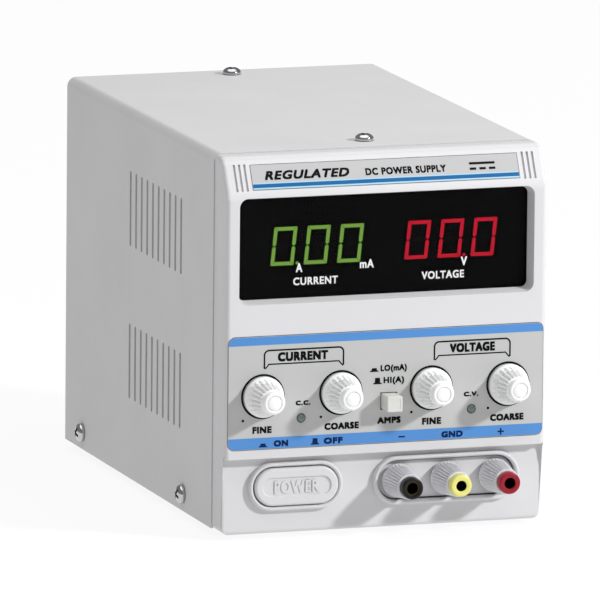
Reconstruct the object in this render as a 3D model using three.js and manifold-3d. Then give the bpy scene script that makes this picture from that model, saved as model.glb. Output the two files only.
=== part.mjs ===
// Bench DC power supply: a steel case with a moulded front bezel, two LED meters, four
// potentiometer knobs, a range button, a mains button and three binding posts. Behind them are
// the mains transformer, the regulator board with its heat sink, and the rear fan and inlet.
// Units are millimetres. In the case frame, +X is the operator's right, +Y runs to the rear
// from the cover's front edge, and +Z is up from the case's underside. The whole case is then
// shifted so that the origin is on the surface that the feet stand on, under the middle.
import * as THREE from "three";
import { mergeVertices } from "three/addons/utils/BufferGeometryUtils.js";
import Module from "manifold-3d";

const wasm = await Module();
wasm.setup();

// ---- driving dimensions ----
const CASE_W = 126;
const CASE_H = 141;
const COVER_D = 182;
const SHEET = 1; // cover steel
const PLATE = 1.2; // chassis and rear panel steel
const GAP = 0.3; // clearance between parts that touch
const FOOT_H = 3;

const BEZEL_W = CASE_W - 0.8;
const WALL = 2.5; // bezel wall
const FRONT_Y = -14.5; // face that holds the window and the controls
const STRIP_Y = -10.5; // lower face, with the mains button and the terminals
const BEZEL_BOTTOM_Z = -1; // the bezel reaches a little below the case
const STRIP_TOP_Z = 27.8;
const CONTROL_BOTTOM_Z = 28.3;
const LEAN_START_Z = 126.6; // the header leans back above this height
const LEAN_TOP = { y: -8, z: 139 };

const METER_WINDOW = { w: 112.6, h: 37.4, z: 106.1, depth: 5.2, draft: 1.5 };
const METER = { w: 37.6, h: 19, d: 8, z: 106.3 };
const METER_X = { current_display: -24.8, voltage_display: 27.5 };

const OVERLAY = { w: 123, z0: 31.9, z1: 74.2, t: 0.4, recess: 0.6 };
const HEADER = { w: 104, h: 9.6, t: 0.4, recess: 0.6, up: 0.6 }; // up: above the lean's middle

const KNOB_Z = 51.7;
const KNOB_X = {
  current_fine: -48.1,
  current_coarse: -17.7,
  voltage_fine: 17.7,
  voltage_coarse: 47.8,
};
const SHAFT_R = 3;
const BUSHING_R = 4.2;
const LED_X = { constant_current_led: -33.1, constant_voltage_led: 33.6 };
const LED_Z = 42.9;
const LED_R = 1.5;
const RANGE_BUTTON = { x: 1.1, z: 47.6, side: 5.9, proud: 7.5, travel: 2.5 };

const POWER = { x: -34, z: 16.9, w: 32.6, h: 14.2, proud: 3, travel: 3 };
const POWER_RING = { w: 36.8, h: 18.6, proud: 2.2 };
const TERMINAL_Z = 16.8;
const TERMINAL_PLATE = { x: 25.1, w: 53.4, h: 14.4 };
const TERMINAL_RING = { w: 57.8, h: 18.6, proud: 2.2 };
const TERMINAL_PITCH = 19.05; // the standard spacing of 4 mm banana sockets
const TERMINALS = { negative: -1, ground: 0, positive: 1 };
const SOCKET_R = 2;
const STUD_R = 3;

const VENT = { count: 10, pitch: 6.9, y: 38, width: 2.1, length: 29 };
const VENT_ROWS_Z = [30.5, 89];
const SCREW_R = 1.8;
const SIDE_SCREW_Y = [34.5, 160];
const SIDE_SCREW_Z = 6.5;
const TOP_SCREW_Y = [13.5, 172];

const REAR_Y = COVER_D - 0.5 - PLATE; // inner face of the rear panel
const FAN = { x: 0, z: 87, side: 80, depth: 25, bore: 38 };
const FAN_Y0 = REAR_Y - GAP - FAN.depth;
const INLET = { x: -28, z: 22, w: 24.4, h: 16.4, depth: 16.4 };
const FUSE = { x: 14, z: 22, r: 6.2 };
const SELECTOR = { x: 42, z: 22, w: 24, h: 13, travel: 5 };

// ---- shape helpers ----

// A closed three.js geometry as a manifold-3d solid.
function solid(geometry) {
  const bare = geometry.clone();
  bare.deleteAttribute("normal");
  bare.deleteAttribute("uv");
  const merged = mergeVertices(bare, 1e-4);
  return new wasm.Manifold(
    new wasm.Mesh({
      numProp: 3,
      vertProperties: merged.attributes.position.array,
      triVerts: new Uint32Array(merged.index.array),
    }),
  );
}

function geometryOf(made) {
  const mesh = made.getMesh();
  const geometry = new THREE.BufferGeometry();
  geometry.setAttribute("position", new THREE.BufferAttribute(mesh.vertProperties, 3));
  geometry.setIndex(new THREE.BufferAttribute(mesh.triVerts, 1));
  geometry.computeVertexNormals();
  return geometry;
}

const joined = (...parts) => parts.reduce((a, b) => a.add(b));
const cut = (base, ...tools) => tools.reduce((a, b) => a.subtract(b), base);

// A box from its low and high corners.
function box(x0, x1, y0, y1, z0, z1) {
  const geometry = new THREE.BoxGeometry(x1 - x0, y1 - y0, z1 - z0);
  geometry.translate((x0 + x1) / 2, (y0 + y1) / 2, (z0 + z1) / 2);
  return solid(geometry);
}

// A cylinder along Y between y0 and y1.
function rodY(radius, y0, y1, x, z, segments = 16) {
  const geometry = new THREE.CylinderGeometry(radius, radius, y1 - y0, segments);
  geometry.translate(x, (y0 + y1) / 2, z);
  return solid(geometry);
}

// A cylinder along X between x0 and x1.
function rodX(radius, x0, x1, y, z, segments = 16) {
  const geometry = new THREE.CylinderGeometry(radius, radius, x1 - x0, segments);
  geometry.rotateZ(Math.PI / 2);
  geometry.translate((x0 + x1) / 2, y, z);
  return solid(geometry);
}

// An upright cylinder or cone.
function rodZ(lowRadius, highRadius, z0, z1, x, y, segments = 16) {
  const geometry = new THREE.CylinderGeometry(highRadius, lowRadius, z1 - z0, segments);
  geometry.rotateX(Math.PI / 2);
  geometry.translate(x, y, (z0 + z1) / 2);
  return solid(geometry);
}

// A flat outline in X and Z, as thick as y0 to y1. With a draft, it widens towards y0.
function slab(shape, y0, y1, x = 0, z = 0, curveSegments = 3, draft = 0) {
  const geometry = new THREE.ExtrudeGeometry(shape, {
    depth: y1 - y0,
    bevelEnabled: false,
    curveSegments,
  });
  geometry.rotateX(Math.PI / 2);
  const position = geometry.attributes.position;
  for (let i = 0; i < position.count; i++) {
    const grow = draft * (-position.getY(i) / (y1 - y0));
    position.setX(i, position.getX(i) + Math.sign(position.getX(i)) * grow);
    position.setZ(i, position.getZ(i) + Math.sign(position.getZ(i)) * grow);
  }
  geometry.translate(x, y1, z);
  return solid(geometry);
}

function roundedRect(w, h, r) {
  const shape = new THREE.Shape();
  shape.moveTo(-w / 2 + r, -h / 2);
  shape.lineTo(w / 2 - r, -h / 2);
  shape.absarc(w / 2 - r, -h / 2 + r, r, -Math.PI / 2, 0);
  shape.lineTo(w / 2, h / 2 - r);
  shape.absarc(w / 2 - r, h / 2 - r, r, 0, Math.PI / 2);
  shape.lineTo(-w / 2 + r, h / 2);
  shape.absarc(-w / 2 + r, h / 2 - r, r, Math.PI / 2, Math.PI);
  shape.lineTo(-w / 2, -h / 2 + r);
  shape.absarc(-w / 2 + r, -h / 2 + r, r, Math.PI, 1.5 * Math.PI);
  return shape;
}

function stadium(w, h) {
  const shape = new THREE.Shape();
  const centre = (w - h) / 2;
  shape.absarc(centre, 0, h / 2, -Math.PI / 2, Math.PI / 2);
  shape.absarc(-centre, 0, h / 2, Math.PI / 2, 1.5 * Math.PI);
  return shape;
}

// A shape turned about the Y axis through x, z. The profile is [radius, y] pairs that start and
// end on the axis, or close on themselves, with the outer side running towards +Y.
function turned(profile, x, z, segments = 16) {
  const geometry = new THREE.LatheGeometry(
    profile.map(([r, y]) => new THREE.Vector2(r, y)),
    segments,
  );
  geometry.translate(x, 0, z);
  return solid(geometry);
}

// ---- materials ----
const paint = (color, roughness, metalness = 0) =>
  new THREE.MeshStandardMaterial({ color, roughness, metalness });
const MATERIALS = {
  coverPaint: paint(0xd3d3d3, 0.55),
  bezelPlastic: paint(0xe6e6e6, 0.45),
  overlayFilm: paint(0xc4c5c6, 0.4),
  headerFilm: paint(0xc2c2c4, 0.35),
  smokedAcrylic: paint(0x08080a, 0.08),
  greenDigits: paint(0x16210f, 0.4),
  redDigits: paint(0x210d0f, 0.4),
  knobPlastic: paint(0xf2f2f0, 0.4),
  whiteButton: paint(0xe9e9e6, 0.4),
  darkLens: paint(0x4a5550, 0.25),
  blackPlastic: paint(0x1a1a1d, 0.45),
  yellowPlastic: paint(0xe8e25a, 0.4),
  redPlastic: paint(0xa80f2d, 0.35),
  zincSteel: paint(0xb9babd, 0.35, 0.9),
  nickelBrass: paint(0xc9c4b4, 0.25, 1),
  aluminium: paint(0xb4b6ba, 0.4, 0.9),
  circuitBoard: paint(0x1f5a35, 0.5),
  laminations: paint(0x4b4642, 0.55, 0.6),
  windingTape: paint(0xd9b23a, 0.5),
  fuseGlass: paint(0xcfd6d2, 0.1),
  rubber: paint(0x1c1c1c, 0.85),
};

const supply = new THREE.Group();
const shell = new THREE.Group();
supply.add(shell);

function place(name, made, material) {
  const mesh = new THREE.Mesh(geometryOf(made), material);
  mesh.name = name;
  shell.add(mesh);
  return mesh;
}

// ---- case ----

// Clearance for the four side screws, through the cover and the chassis flanges.
function sideScrewHoles() {
  const radius = SCREW_R + GAP;
  const inner = CASE_W / 2 - 8;
  return SIDE_SCREW_Y.flatMap((y) => [
    rodX(radius, -CASE_W, -inner, y, SIDE_SCREW_Z, 8),
    rodX(radius, inner, CASE_W, y, SIDE_SCREW_Z, 8),
  ]);
}

// The cover is one sheet bent over both sides, with two rows of vents pressed in each side.
function topCover() {
  const bend = 3.6;
  const half = CASE_W / 2;
  const outline = new THREE.Shape();
  outline.moveTo(half, 0);
  outline.lineTo(half, CASE_H - bend);
  outline.absarc(half - bend, CASE_H - bend, bend, 0, Math.PI / 2);
  outline.lineTo(-half + bend, CASE_H);
  outline.absarc(-half + bend, CASE_H - bend, bend, Math.PI / 2, Math.PI);
  outline.lineTo(-half, 0);
  outline.lineTo(-half + SHEET, 0);
  outline.lineTo(-half + SHEET, CASE_H - bend);
  outline.absarc(-half + bend, CASE_H - bend, bend - SHEET, Math.PI, Math.PI / 2, true);
  outline.lineTo(half - bend, CASE_H - SHEET);
  outline.absarc(half - bend, CASE_H - bend, bend - SHEET, Math.PI / 2, 0, true);
  outline.lineTo(half - SHEET, 0);
  let cover = slab(outline, GAP, COVER_D, 0, 0, 5);
  for (const z of VENT_ROWS_Z) {
    for (let i = 0; i < VENT.count; i++) {
      const y = VENT.y + i * VENT.pitch;
      const slot = box(-CASE_W, CASE_W, y, y + VENT.width, z, z + VENT.length);
      cover = cut(cover, slot);
    }
  }
  cover = cut(cover, ...sideScrewHoles());
  for (const y of TOP_SCREW_Y) {
    cover = cut(cover, rodZ(SCREW_R + GAP, SCREW_R + GAP, CASE_H - 3, CASE_H + 3, 0, y, 12));
  }
  return cover;
}

const FLOOR_Z = 0.6; // underside of the chassis plate
const INNER_X = CASE_W / 2 - SHEET - GAP;
const FLANGE_TOP = CASE_H - SHEET - 0.6;
const BOARD = { w: 112, y0: 28, y1: 86, z: 8 + GAP, t: 1.6 };
const BOARD_POSTS = [
  [-50, BOARD.y0 + 6],
  [50, BOARD.y0 + 6],
  [-50, BOARD.y1 - 6],
  [50, BOARD.y1 - 6],
];

// The chassis is the floor, two low side flanges and an upright frame that carries the bezel.
function bottomChassis() {
  const floorTop = FLOOR_Z + PLATE;
  const back = REAR_Y - GAP;
  let chassis = box(-INNER_X, INNER_X, GAP, back, FLOOR_Z, floorTop);
  for (const side of [-1, 1]) {
    const low = side < 0 ? -INNER_X : INNER_X - PLATE;
    chassis = joined(chassis, box(low, low + PLATE, GAP, back, FLOOR_Z, 14));
  }
  const outline = roundedRect(2 * INNER_X - 2, FLANGE_TOP - FLOOR_Z, 4);
  const frame = slab(outline, GAP, GAP + PLATE, 0, (FLANGE_TOP + FLOOR_Z) / 2, 3);
  const topFlange = box(-50, 50, GAP + 0.5, 20, FLANGE_TOP - PLATE, FLANGE_TOP);
  chassis = joined(chassis, frame, topFlange);
  for (const [x, y] of BOARD_POSTS) {
    chassis = joined(chassis, rodZ(2.6, 2.6, FLOOR_Z, BOARD.z - GAP, x, y, 8));
  }
  chassis = cut(chassis, box(-53, 53, -5, 5, 29, 131));
  const { x, z } = POWER;
  chassis = cut(chassis, box(x - 4, x + 4, -5, 5, z - 4, z + 4));
  for (const at of Object.values(TERMINALS)) {
    const tx = TERMINAL_PLATE.x + at * TERMINAL_PITCH;
    chassis = cut(chassis, rodY(6, -5, 5, tx, TERMINAL_Z, 12));
  }
  chassis = cut(chassis, ...sideScrewHoles());
  const screwHole = rodZ(SCREW_R + GAP, SCREW_R + GAP, CASE_H - 8, CASE_H, 0, TOP_SCREW_Y[0], 8);
  return cut(chassis, screwHole);
}

// The header leans back from the front face at this angle.
const LEAN = Math.atan2(LEAN_TOP.y - FRONT_Y, LEAN_TOP.z - LEAN_START_Z);

// A box that lies on the leaning header: its own Y is the header's normal, 0 at its surface.
function onHeader(made) {
  const middle = (LEAN_START_Z + LEAN_TOP.z) / 2;
  const surface = (FRONT_Y + LEAN_TOP.y) / 2;
  return made
    .translate([0, 0, HEADER.up])
    .rotate([-THREE.MathUtils.radToDeg(LEAN), 0, 0])
    .translate([0, surface, middle]);
}

// The bezel is a hollow tray, open at the rear. Its side outline is drawn in Y and Z.
function bezelProfile(inset) {
  const top = CASE_H - 0.4 - inset;
  const bottom = BEZEL_BOTTOM_Z + inset;
  const outline = new THREE.Shape();
  outline.moveTo(inset ? 5 : 0, bottom);
  outline.lineTo(STRIP_Y + inset + 1, bottom);
  outline.lineTo(STRIP_Y + inset, bottom + 1);
  outline.lineTo(STRIP_Y + inset, STRIP_TOP_Z + inset);
  outline.lineTo(FRONT_Y + inset, CONTROL_BOTTOM_Z + inset);
  outline.lineTo(FRONT_Y + inset, LEAN_START_Z);
  outline.lineTo(LEAN_TOP.y + inset, LEAN_TOP.z - inset);
  if (!inset) outline.lineTo(LEAN_TOP.y + 2, top);
  outline.lineTo(inset ? 5 : 0, top);
  return outline;
}

// Extrudes a Y-Z outline along X, centred.
function alongX(shape, w) {
  const geometry = new THREE.ExtrudeGeometry(shape, { depth: w, bevelEnabled: false });
  geometry.rotateX(Math.PI / 2);
  geometry.rotateZ(Math.PI / 2);
  geometry.translate(-w / 2, 0, 0);
  return solid(geometry);
}

function frontBezel() {
  const top = CASE_H - 0.4;
  const front = roundedRect(BEZEL_W, top - BEZEL_BOTTOM_Z, 3);
  const middle = (top + BEZEL_BOTTOM_Z) / 2;
  let bezel = alongX(bezelProfile(0), BEZEL_W).intersect(slab(front, -40, 5, 0, middle));
  bezel = cut(bezel, alongX(bezelProfile(WALL), BEZEL_W - 2 * WALL));

  // The window has a collar that carries the pane behind it.
  const { w, h, z: windowZ, depth, draft } = METER_WINDOW;
  const paneFace = FRONT_Y + depth;
  const collar = slab(roundedRect(w + 5, h + 5, 3), FRONT_Y + 1, paneFace, 0, windowZ);
  const opening = slab(roundedRect(w, h, 2), FRONT_Y - 1, paneFace + 1, 0, windowZ, 3, draft);
  bezel = cut(joined(bezel, collar), opening);

  // Raised rims round the mains button and the terminals.
  const innerStrip = STRIP_Y + WALL;
  bezel = joined(
    bezel,
    slab(stadium(POWER_RING.w, POWER_RING.h), STRIP_Y - POWER_RING.proud, innerStrip, POWER.x, POWER.z),
    slab(
      stadium(TERMINAL_RING.w, TERMINAL_RING.h),
      STRIP_Y - TERMINAL_RING.proud,
      innerStrip,
      TERMINAL_PLATE.x,
      TERMINAL_Z,
    ),
  );
  bezel = cut(
    bezel,
    slab(stadium(POWER.w + 0.9, POWER.h + 0.9), -30, 0, POWER.x, POWER.z),
    slab(stadium(TERMINAL_PLATE.w + 0.6, TERMINAL_PLATE.h + 0.6), -30, 0, TERMINAL_PLATE.x, TERMINAL_Z),
  );

  // Recesses for the two printed films.
  const { z0, z1, recess } = OVERLAY;
  const film = roundedRect(OVERLAY.w + 0.6, z1 - z0 + 0.6, 2.8);
  bezel = cut(bezel, slab(film, FRONT_Y - 2, FRONT_Y + recess, 0, (z0 + z1) / 2));
  const label = box(
    -HEADER.w / 2 - GAP,
    HEADER.w / 2 + GAP,
    -2,
    HEADER.recess,
    -HEADER.h / 2 - GAP,
    HEADER.h / 2 + GAP,
  );
  bezel = cut(bezel, onHeader(label));

  // Three fine grooves on each side of the header label.
  for (const side of [-1, 1]) {
    for (let i = 0; i < 3; i++) {
      const x = side * (54 + 2 * i);
      bezel = cut(bezel, onHeader(box(x - 0.3, x + 0.3, -2, 0.7, -5, 5)));
    }
  }

  // Holes for the potentiometers, indicators and range button.
  for (const x of Object.values(KNOB_X)) {
    bezel = cut(bezel, rodY(BUSHING_R + GAP, -30, 0, x, KNOB_Z));
  }
  for (const x of Object.values(LED_X)) {
    bezel = cut(bezel, rodY(LED_R + GAP, -30, 0, x, LED_Z, 12));
  }
  const hole = RANGE_BUTTON.side / 2 + 0.35;
  const { x, z } = RANGE_BUTTON;
  bezel = cut(bezel, box(x - hole, x + hole, -30, 0, z - hole, z + hole));

  // Bosses: the outer four meet the chassis frame, the inner four carry the display board.
  // Each starts inside the wall, which leans back at the upper ones.
  const innerFace = FRONT_Y + WALL;
  for (const side of [-1, 1]) {
    bezel = joined(
      bezel,
      rodY(3, innerStrip - 1, 0, side * 57, 6, 8),
      rodY(3, innerFace + 2, 0, side * 57, 130.5, 8),
      rodY(1.6, innerFace - 1, METER_BACK, side * 47, 82, 8),
      rodY(1.6, innerFace + 0.5, METER_BACK, side * 47, 129.2, 8),
    );
  }
  return bezel;
}

// The meters stand just behind the pane, on the display board.
const PANE_Y0 = FRONT_Y + METER_WINDOW.depth + GAP;
const PANE_Y1 = PANE_Y0 + 2;
const METER_FRONT = PANE_Y1 + 0.6;
const METER_BACK = METER_FRONT + METER.d;

function rearPanel() {
  const y1 = REAR_Y + PLATE;
  const outline = roundedRect(2 * INNER_X, FLANGE_TOP - FLOOR_Z, 4);
  let panel = slab(outline, REAR_Y, y1, 0, (FLANGE_TOP + FLOOR_Z) / 2, 3);
  panel = joined(panel, box(-52, 52, REAR_Y - 14, y1 - 0.5, FLANGE_TOP - PLATE, FLANGE_TOP));
  // The fan grille is three rings of slots, divided by four spokes.
  for (const r of [13, 21, 29]) {
    const outer = rodY(r + 5, REAR_Y - 2, y1 + 2, FAN.x, FAN.z, 20);
    const ring = cut(outer, rodY(r, REAR_Y - 3, y1 + 3, FAN.x, FAN.z, 20));
    const spoke = box(-40, 40, REAR_Y - 4, y1 + 4, -2, 2);
    const spokes = joined(spoke.rotate([0, 45, 0]), spoke.rotate([0, -45, 0]));
    panel = cut(panel, cut(ring, spokes.translate([FAN.x, 0, FAN.z])));
  }
  panel = cut(
    panel,
    box(INLET.x - 14, INLET.x + 14, 0, 300, INLET.z - 10, INLET.z + 10),
    rodY(FUSE.r + GAP, 0, 300, FUSE.x, FUSE.z),
    box(SELECTOR.x - 10, SELECTOR.x + 10, 0, 300, SELECTOR.z - 5, SELECTOR.z + 5),
    rodZ(SCREW_R + GAP, SCREW_R + GAP, CASE_H - 8, CASE_H, 0, TOP_SCREW_Y[1], 12),
  );
  return panel;
}

function foot(x, y) {
  return rodZ(5.4, 6.4, -FOOT_H, FLOOR_Z - GAP, x, y);
}

// A pan-head screw. It points along -Z, with the head's seat at z = 0.
function panScrew() {
  const head = 3.5;
  const rise = 2.5;
  const profile = [[0, -6.5], [SCREW_R, -6.5], [SCREW_R, 0], [head, 0], [head, 0.7]];
  for (let i = 1; i < 3; i++) {
    const a = (i / 3) * (Math.PI / 2);
    profile.push([head * Math.cos(a), 0.7 + (rise - 0.7) * Math.sin(a)]);
  }
  profile.push([0, rise]);
  return turned(profile, 0, 0, 12).rotate([90, 0, 0]);
}

// ---- meters, films and indicators ----

function displayWindow() {
  const pane = roundedRect(METER_WINDOW.w + 4, METER_WINDOW.h + 4, 2.5);
  return slab(pane, PANE_Y0, PANE_Y1, 0, METER_WINDOW.z, 4);
}

function meter(x) {
  const { w, h, z } = METER;
  return box(x - w / 2, x + w / 2, METER_FRONT, METER_BACK, z - h / 2, z + h / 2);
}

function displayBoard() {
  return box(-51, 51, METER_BACK + GAP, METER_BACK + GAP + 1.6, 80, 131);
}

function controlOverlay() {
  const { w, z0, z1, t } = OVERLAY;
  let film = slab(roundedRect(w, z1 - z0, 2.5), FRONT_Y - 0.1, FRONT_Y - 0.1 + t, 0, (z0 + z1) / 2);
  for (const x of Object.values(KNOB_X)) {
    film = cut(film, rodY(BUSHING_R + GAP, -30, 0, x, KNOB_Z));
  }
  for (const x of Object.values(LED_X)) {
    film = cut(film, rodY(LED_R + GAP, -30, 0, x, LED_Z, 12));
  }
  const hole = RANGE_BUTTON.side / 2 + 0.35;
  const { x, z } = RANGE_BUTTON;
  return cut(film, box(x - hole, x + hole, -30, 0, z - hole, z + hole));
}

function headerLabel() {
  const { w, h, t } = HEADER;
  return onHeader(box(-w / 2, w / 2, -0.1, -0.1 + t, -h / 2, h / 2));
}

function indicator(x) {
  const tip = FRONT_Y - 1.2;
  return turned(
    [[0, tip], [0.9, tip + 0.3], [LED_R, tip + 1.3], [LED_R, -10], [0, -10]],
    x,
    LED_Z,
    12,
  );
}

// ---- knobs and potentiometers ----

const KNOB_BASE = FRONT_Y - 0.7;
const KNOB_LENGTH = 13.9;

// The skirt is hollow, so that it clears the bushing's nut, and a bore takes the shaft.
function knob(x) {
  const y = (up) => KNOB_BASE - up;
  const profile = [
    [0, y(KNOB_LENGTH)],
    [4.3, y(KNOB_LENGTH)],
    [4.5, y(11)],
    [5.2, y(10.6)],
    [7, y(2.6)],
    [7.7, y(1.8)],
    [7.7, y(0)],
    [6.6, y(0)],
    [6.6, y(4.5)],
    [SHAFT_R + GAP, y(4.5)],
    [SHAFT_R + GAP, y(10.5)],
    [0, y(10.5)],
  ];
  return turned(profile, x, KNOB_Z);
}

const POT = { r: 8, depth: 9, bushingEnd: FRONT_Y - 4.2, shaftEnd: KNOB_BASE - 10.2 };
const POT_Y0 = FRONT_Y + WALL + GAP;

function potShaft(x) {
  return rodY(SHAFT_R, POT.shaftEnd, POT_Y0 + 4, x, KNOB_Z, 12);
}

// The potentiometer's can, its threaded bushing, the bushing's nut and its terminal lug.
function potBody(x) {
  const can = rodY(POT.r, POT_Y0, POT_Y0 + POT.depth, x, KNOB_Z);
  const lug = box(x - 6.5, x + 6.5, POT_Y0 + 2, POT_Y0 + 4.5, KNOB_Z - 11.5, KNOB_Z);
  const bushing = rodY(BUSHING_R, POT.bushingEnd, POT_Y0 + 1, x, KNOB_Z);
  const nut = rodY(5.6, FRONT_Y - 2.9, FRONT_Y - 0.5, x, KNOB_Z, 6);
  const bore = rodY(SHAFT_R + GAP, -40, POT_Y0 + 4.5, x, KNOB_Z, 12);
  return cut(joined(can, lug, bushing, nut), bore);
}

// ---- buttons and switches ----

const SWITCH_Y = -10.2; // front face of the range switch

function rangeButton() {
  const { x, z, side, proud } = RANGE_BUTTON;
  const cap = slab(roundedRect(side, side, 0.5), FRONT_Y - proud, -13.2, x, z, 3);
  return joined(cap, box(x - 1.5, x + 1.5, -14, -4, z - 1.5, z + 1.5));
}

function rangeSwitch() {
  const { x, z } = RANGE_BUTTON;
  const body = box(x - 4.25, x + 4.25, SWITCH_Y, 4, z - 4.25, z + 4.25);
  return cut(body, box(x - 1.8, x + 1.8, -20, -0.6, z - 1.8, z + 1.8));
}

function powerButton() {
  const { x, z, w, h, proud } = POWER;
  const face = STRIP_Y - proud;
  const cap = slab(stadium(w, h), face, -4.6, x, z);
  return joined(cap, box(x - 3, x + 3, -5, 9, z - 3, z + 3));
}

function powerSwitch() {
  const { x, z } = POWER;
  const body = box(x - 10, x + 10, 3, 26, z - 8, z + 8);
  return cut(body, box(x - 3.3, x + 3.3, -5, 13, z - 3.3, z + 3.3));
}

// ---- terminals ----

// The plate drops into its opening from behind, up to its flange.
function terminalPlate() {
  const { x, w, h } = TERMINAL_PLATE;
  const innerStrip = STRIP_Y + WALL;
  let plate = joined(
    slab(stadium(w, h), STRIP_Y + 0.2, innerStrip + 1, x, TERMINAL_Z),
    slab(stadium(w + 4, h + 4), innerStrip + GAP, innerStrip + 2, x, TERMINAL_Z),
  );
  for (const at of Object.values(TERMINALS)) {
    plate = cut(plate, rodY(STUD_R + GAP, -30, 0, x + at * TERMINAL_PITCH, TERMINAL_Z));
  }
  return plate;
}

const POST = { base: STRIP_Y - 1.1, length: 17.5, low: 6.4, high: 4.6, tip: 4.15, tipLength: 3.6 };
const POST_TIP = POST.base - POST.length;

// A threaded brass core with the 4 mm socket in its front end and a collar behind the plate.
function stud(x) {
  const front = POST_TIP + 0.5;
  const back = STRIP_Y + WALL + 2 + GAP;
  const core = rodY(STUD_R, front, 10, x, TERMINAL_Z);
  const collar = rodY(5.2, back, back + 3, x, TERMINAL_Z, 6);
  return cut(joined(core, collar), rodY(SOCKET_R, front - 5, front + 15, x, TERMINAL_Z, 12));
}

function clampWasher(x) {
  const y1 = STRIP_Y + 0.2 - GAP;
  const disc = rodY(5, y1 - 0.6, y1, x, TERMINAL_Z);
  return cut(disc, rodY(STUD_R + GAP, -30, 0, x, TERMINAL_Z));
}

// The thumb nut is a knurled cone with a smooth insulating tip.
function thumbNut(x) {
  const shoulder = POST_TIP + POST.tipLength;
  const bore = STUD_R + GAP;
  const profile = [
    [bore, POST.base],
    [bore, POST_TIP],
    [POST.tip - 0.4, POST_TIP],
    [POST.tip, POST_TIP + 0.4],
    [POST.tip, shoulder],
    [POST.high, shoulder],
    [POST.low - 0.2, POST.base - 1.5],
    [POST.low, POST.base - 1.2],
    [POST.low, POST.base],
    [bore, POST.base],
  ];
  return turned(profile, x, TERMINAL_Z);
}

// ---- inside and rear ----

function fanFrame() {
  const { x, z, side, depth, bore } = FAN;
  const y1 = FAN_Y0 + depth;
  let frame = slab(roundedRect(side, side, 3), FAN_Y0, y1, x, z, 3);
  frame = cut(frame, rodY(bore, 0, 300, x, z, 24));
  // Four struts carry the bearing cup on the exhaust side.
  const strut = box(-bore - 1, bore + 1, y1 - 3.5, y1, -1.6, 1.6);
  const struts = joined(strut.rotate([0, 20, 0]), strut.rotate([0, 110, 0]));
  frame = joined(frame, struts.translate([x, 0, z]), rodY(15.5, y1 - 4, y1, x, z));
  return cut(frame, rodY(1.5 + GAP, 0, y1 - 1.5, x, z, 12));
}

const BLADES = 7;

function fanRotor() {
  const { x, z, depth } = FAN;
  const y0 = FAN_Y0 + 1.5;
  const y1 = FAN_Y0 + depth - 4.5;
  const pin = rodY(1.5, y1 - 1, y1 + 2.6, 0, 0, 12);
  let rotor = joined(rodY(15, y0, y1, 0, 0), pin);
  for (let i = 0; i < BLADES; i++) {
    const blade = box(13, 40, -10, 10, -0.8, 0.8).rotate([42, 0, 0]);
    const turnedBlade = blade.translate([0, (y0 + y1) / 2, 0]).rotate([0, (360 / BLADES) * i, 0]);
    rotor = joined(rotor, turnedBlade.intersect(rodY(36.5, y0 + 0.5, y1 - 0.5, 0, 0, 20)));
  }
  return rotor.translate([x, 0, z]);
}

const PANEL_OUT = REAR_Y + PLATE; // outer face of the rear panel

// A mains inlet for a detachable cord: the shroud keeps the connector's outline.
function mainsInlet() {
  const { x, z, w, h, depth } = INLET;
  const face = PANEL_OUT + GAP + 2.6;
  const cavity = new THREE.Shape();
  const chamfer = 5;
  cavity.moveTo(-w / 2, -h / 2);
  cavity.lineTo(w / 2, -h / 2);
  cavity.lineTo(w / 2, h / 2 - chamfer);
  cavity.lineTo(w / 2 - chamfer, h / 2);
  cavity.lineTo(-w / 2 + chamfer, h / 2);
  cavity.lineTo(-w / 2, h / 2 - chamfer);
  const flange = slab(roundedRect(50, 24, 5), PANEL_OUT + GAP, face, x, z, 4);
  const body = box(x - 13.6, x + 13.6, face - depth - 2, face - 1, z - 9.6, z + 9.6);
  return cut(joined(flange, body), slab(cavity, face - depth, face + 5, x, z));
}

const FUSE_MOUTH = PANEL_OUT + GAP + 2;
const FUSE_TUBE = { r: 2.6, length: 20, end: FUSE_MOUTH - 5.5 };

function fuseHolder() {
  const { x, z, r } = FUSE;
  const barrel = rodY(r, FUSE_MOUTH - 32, FUSE_MOUTH, x, z);
  const flange = rodY(r + 2, PANEL_OUT + GAP, FUSE_MOUTH, x, z);
  return cut(joined(barrel, flange), rodY(4.6, FUSE_MOUTH - 28, FUSE_MOUTH + 5, x, z));
}

// The bayonet cap has a finger grip across its face and holds one end of the fuse.
function fuseCap() {
  const { x, z } = FUSE;
  const head = rodY(6.4, FUSE_MOUTH + GAP, FUSE_MOUTH + 4, x, z);
  const grip = box(x - 5.2, x + 5.2, FUSE_MOUTH + 3, FUSE_MOUTH + 7.5, z - 1.6, z + 1.6);
  const carrier = rodY(4.3, FUSE_MOUTH - 9, FUSE_MOUTH + 1, x, z);
  const grasp = rodY(FUSE_TUBE.r + GAP, FUSE_MOUTH - 20, FUSE_TUBE.end + GAP, x, z, 12);
  return cut(joined(head, grip, carrier), grasp);
}

function fuse() {
  const { r, end, length } = FUSE_TUBE;
  return rodY(r, end - length, end, FUSE.x, FUSE.z, 12);
}

function voltageSelector() {
  const { x, z, w, h } = SELECTOR;
  const flange = slab(roundedRect(w, h, 1.5), PANEL_OUT + GAP, PANEL_OUT + 1.9, x, z, 3);
  const body = box(x - 9.6, x + 9.6, PANEL_OUT - 9, PANEL_OUT + 1, z - 4.6, z + 4.6);
  const slot = box(x - 6, x + 6, PANEL_OUT - 5, PANEL_OUT + 5, z - 2.8, z + 2.8);
  return cut(joined(flange, body), slot);
}

function selectorSlider() {
  const { x, z, travel } = SELECTOR;
  const left = x - 2.5 - travel / 2;
  const tab = box(left, left + 5, PANEL_OUT - 1, PANEL_OUT + 1.6, z - 2.4, z + 2.4);
  return joined(tab, box(left, left + 5, PANEL_OUT - 4.5, PANEL_OUT - 0.5, z - 1.5, z + 1.5));
}

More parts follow.
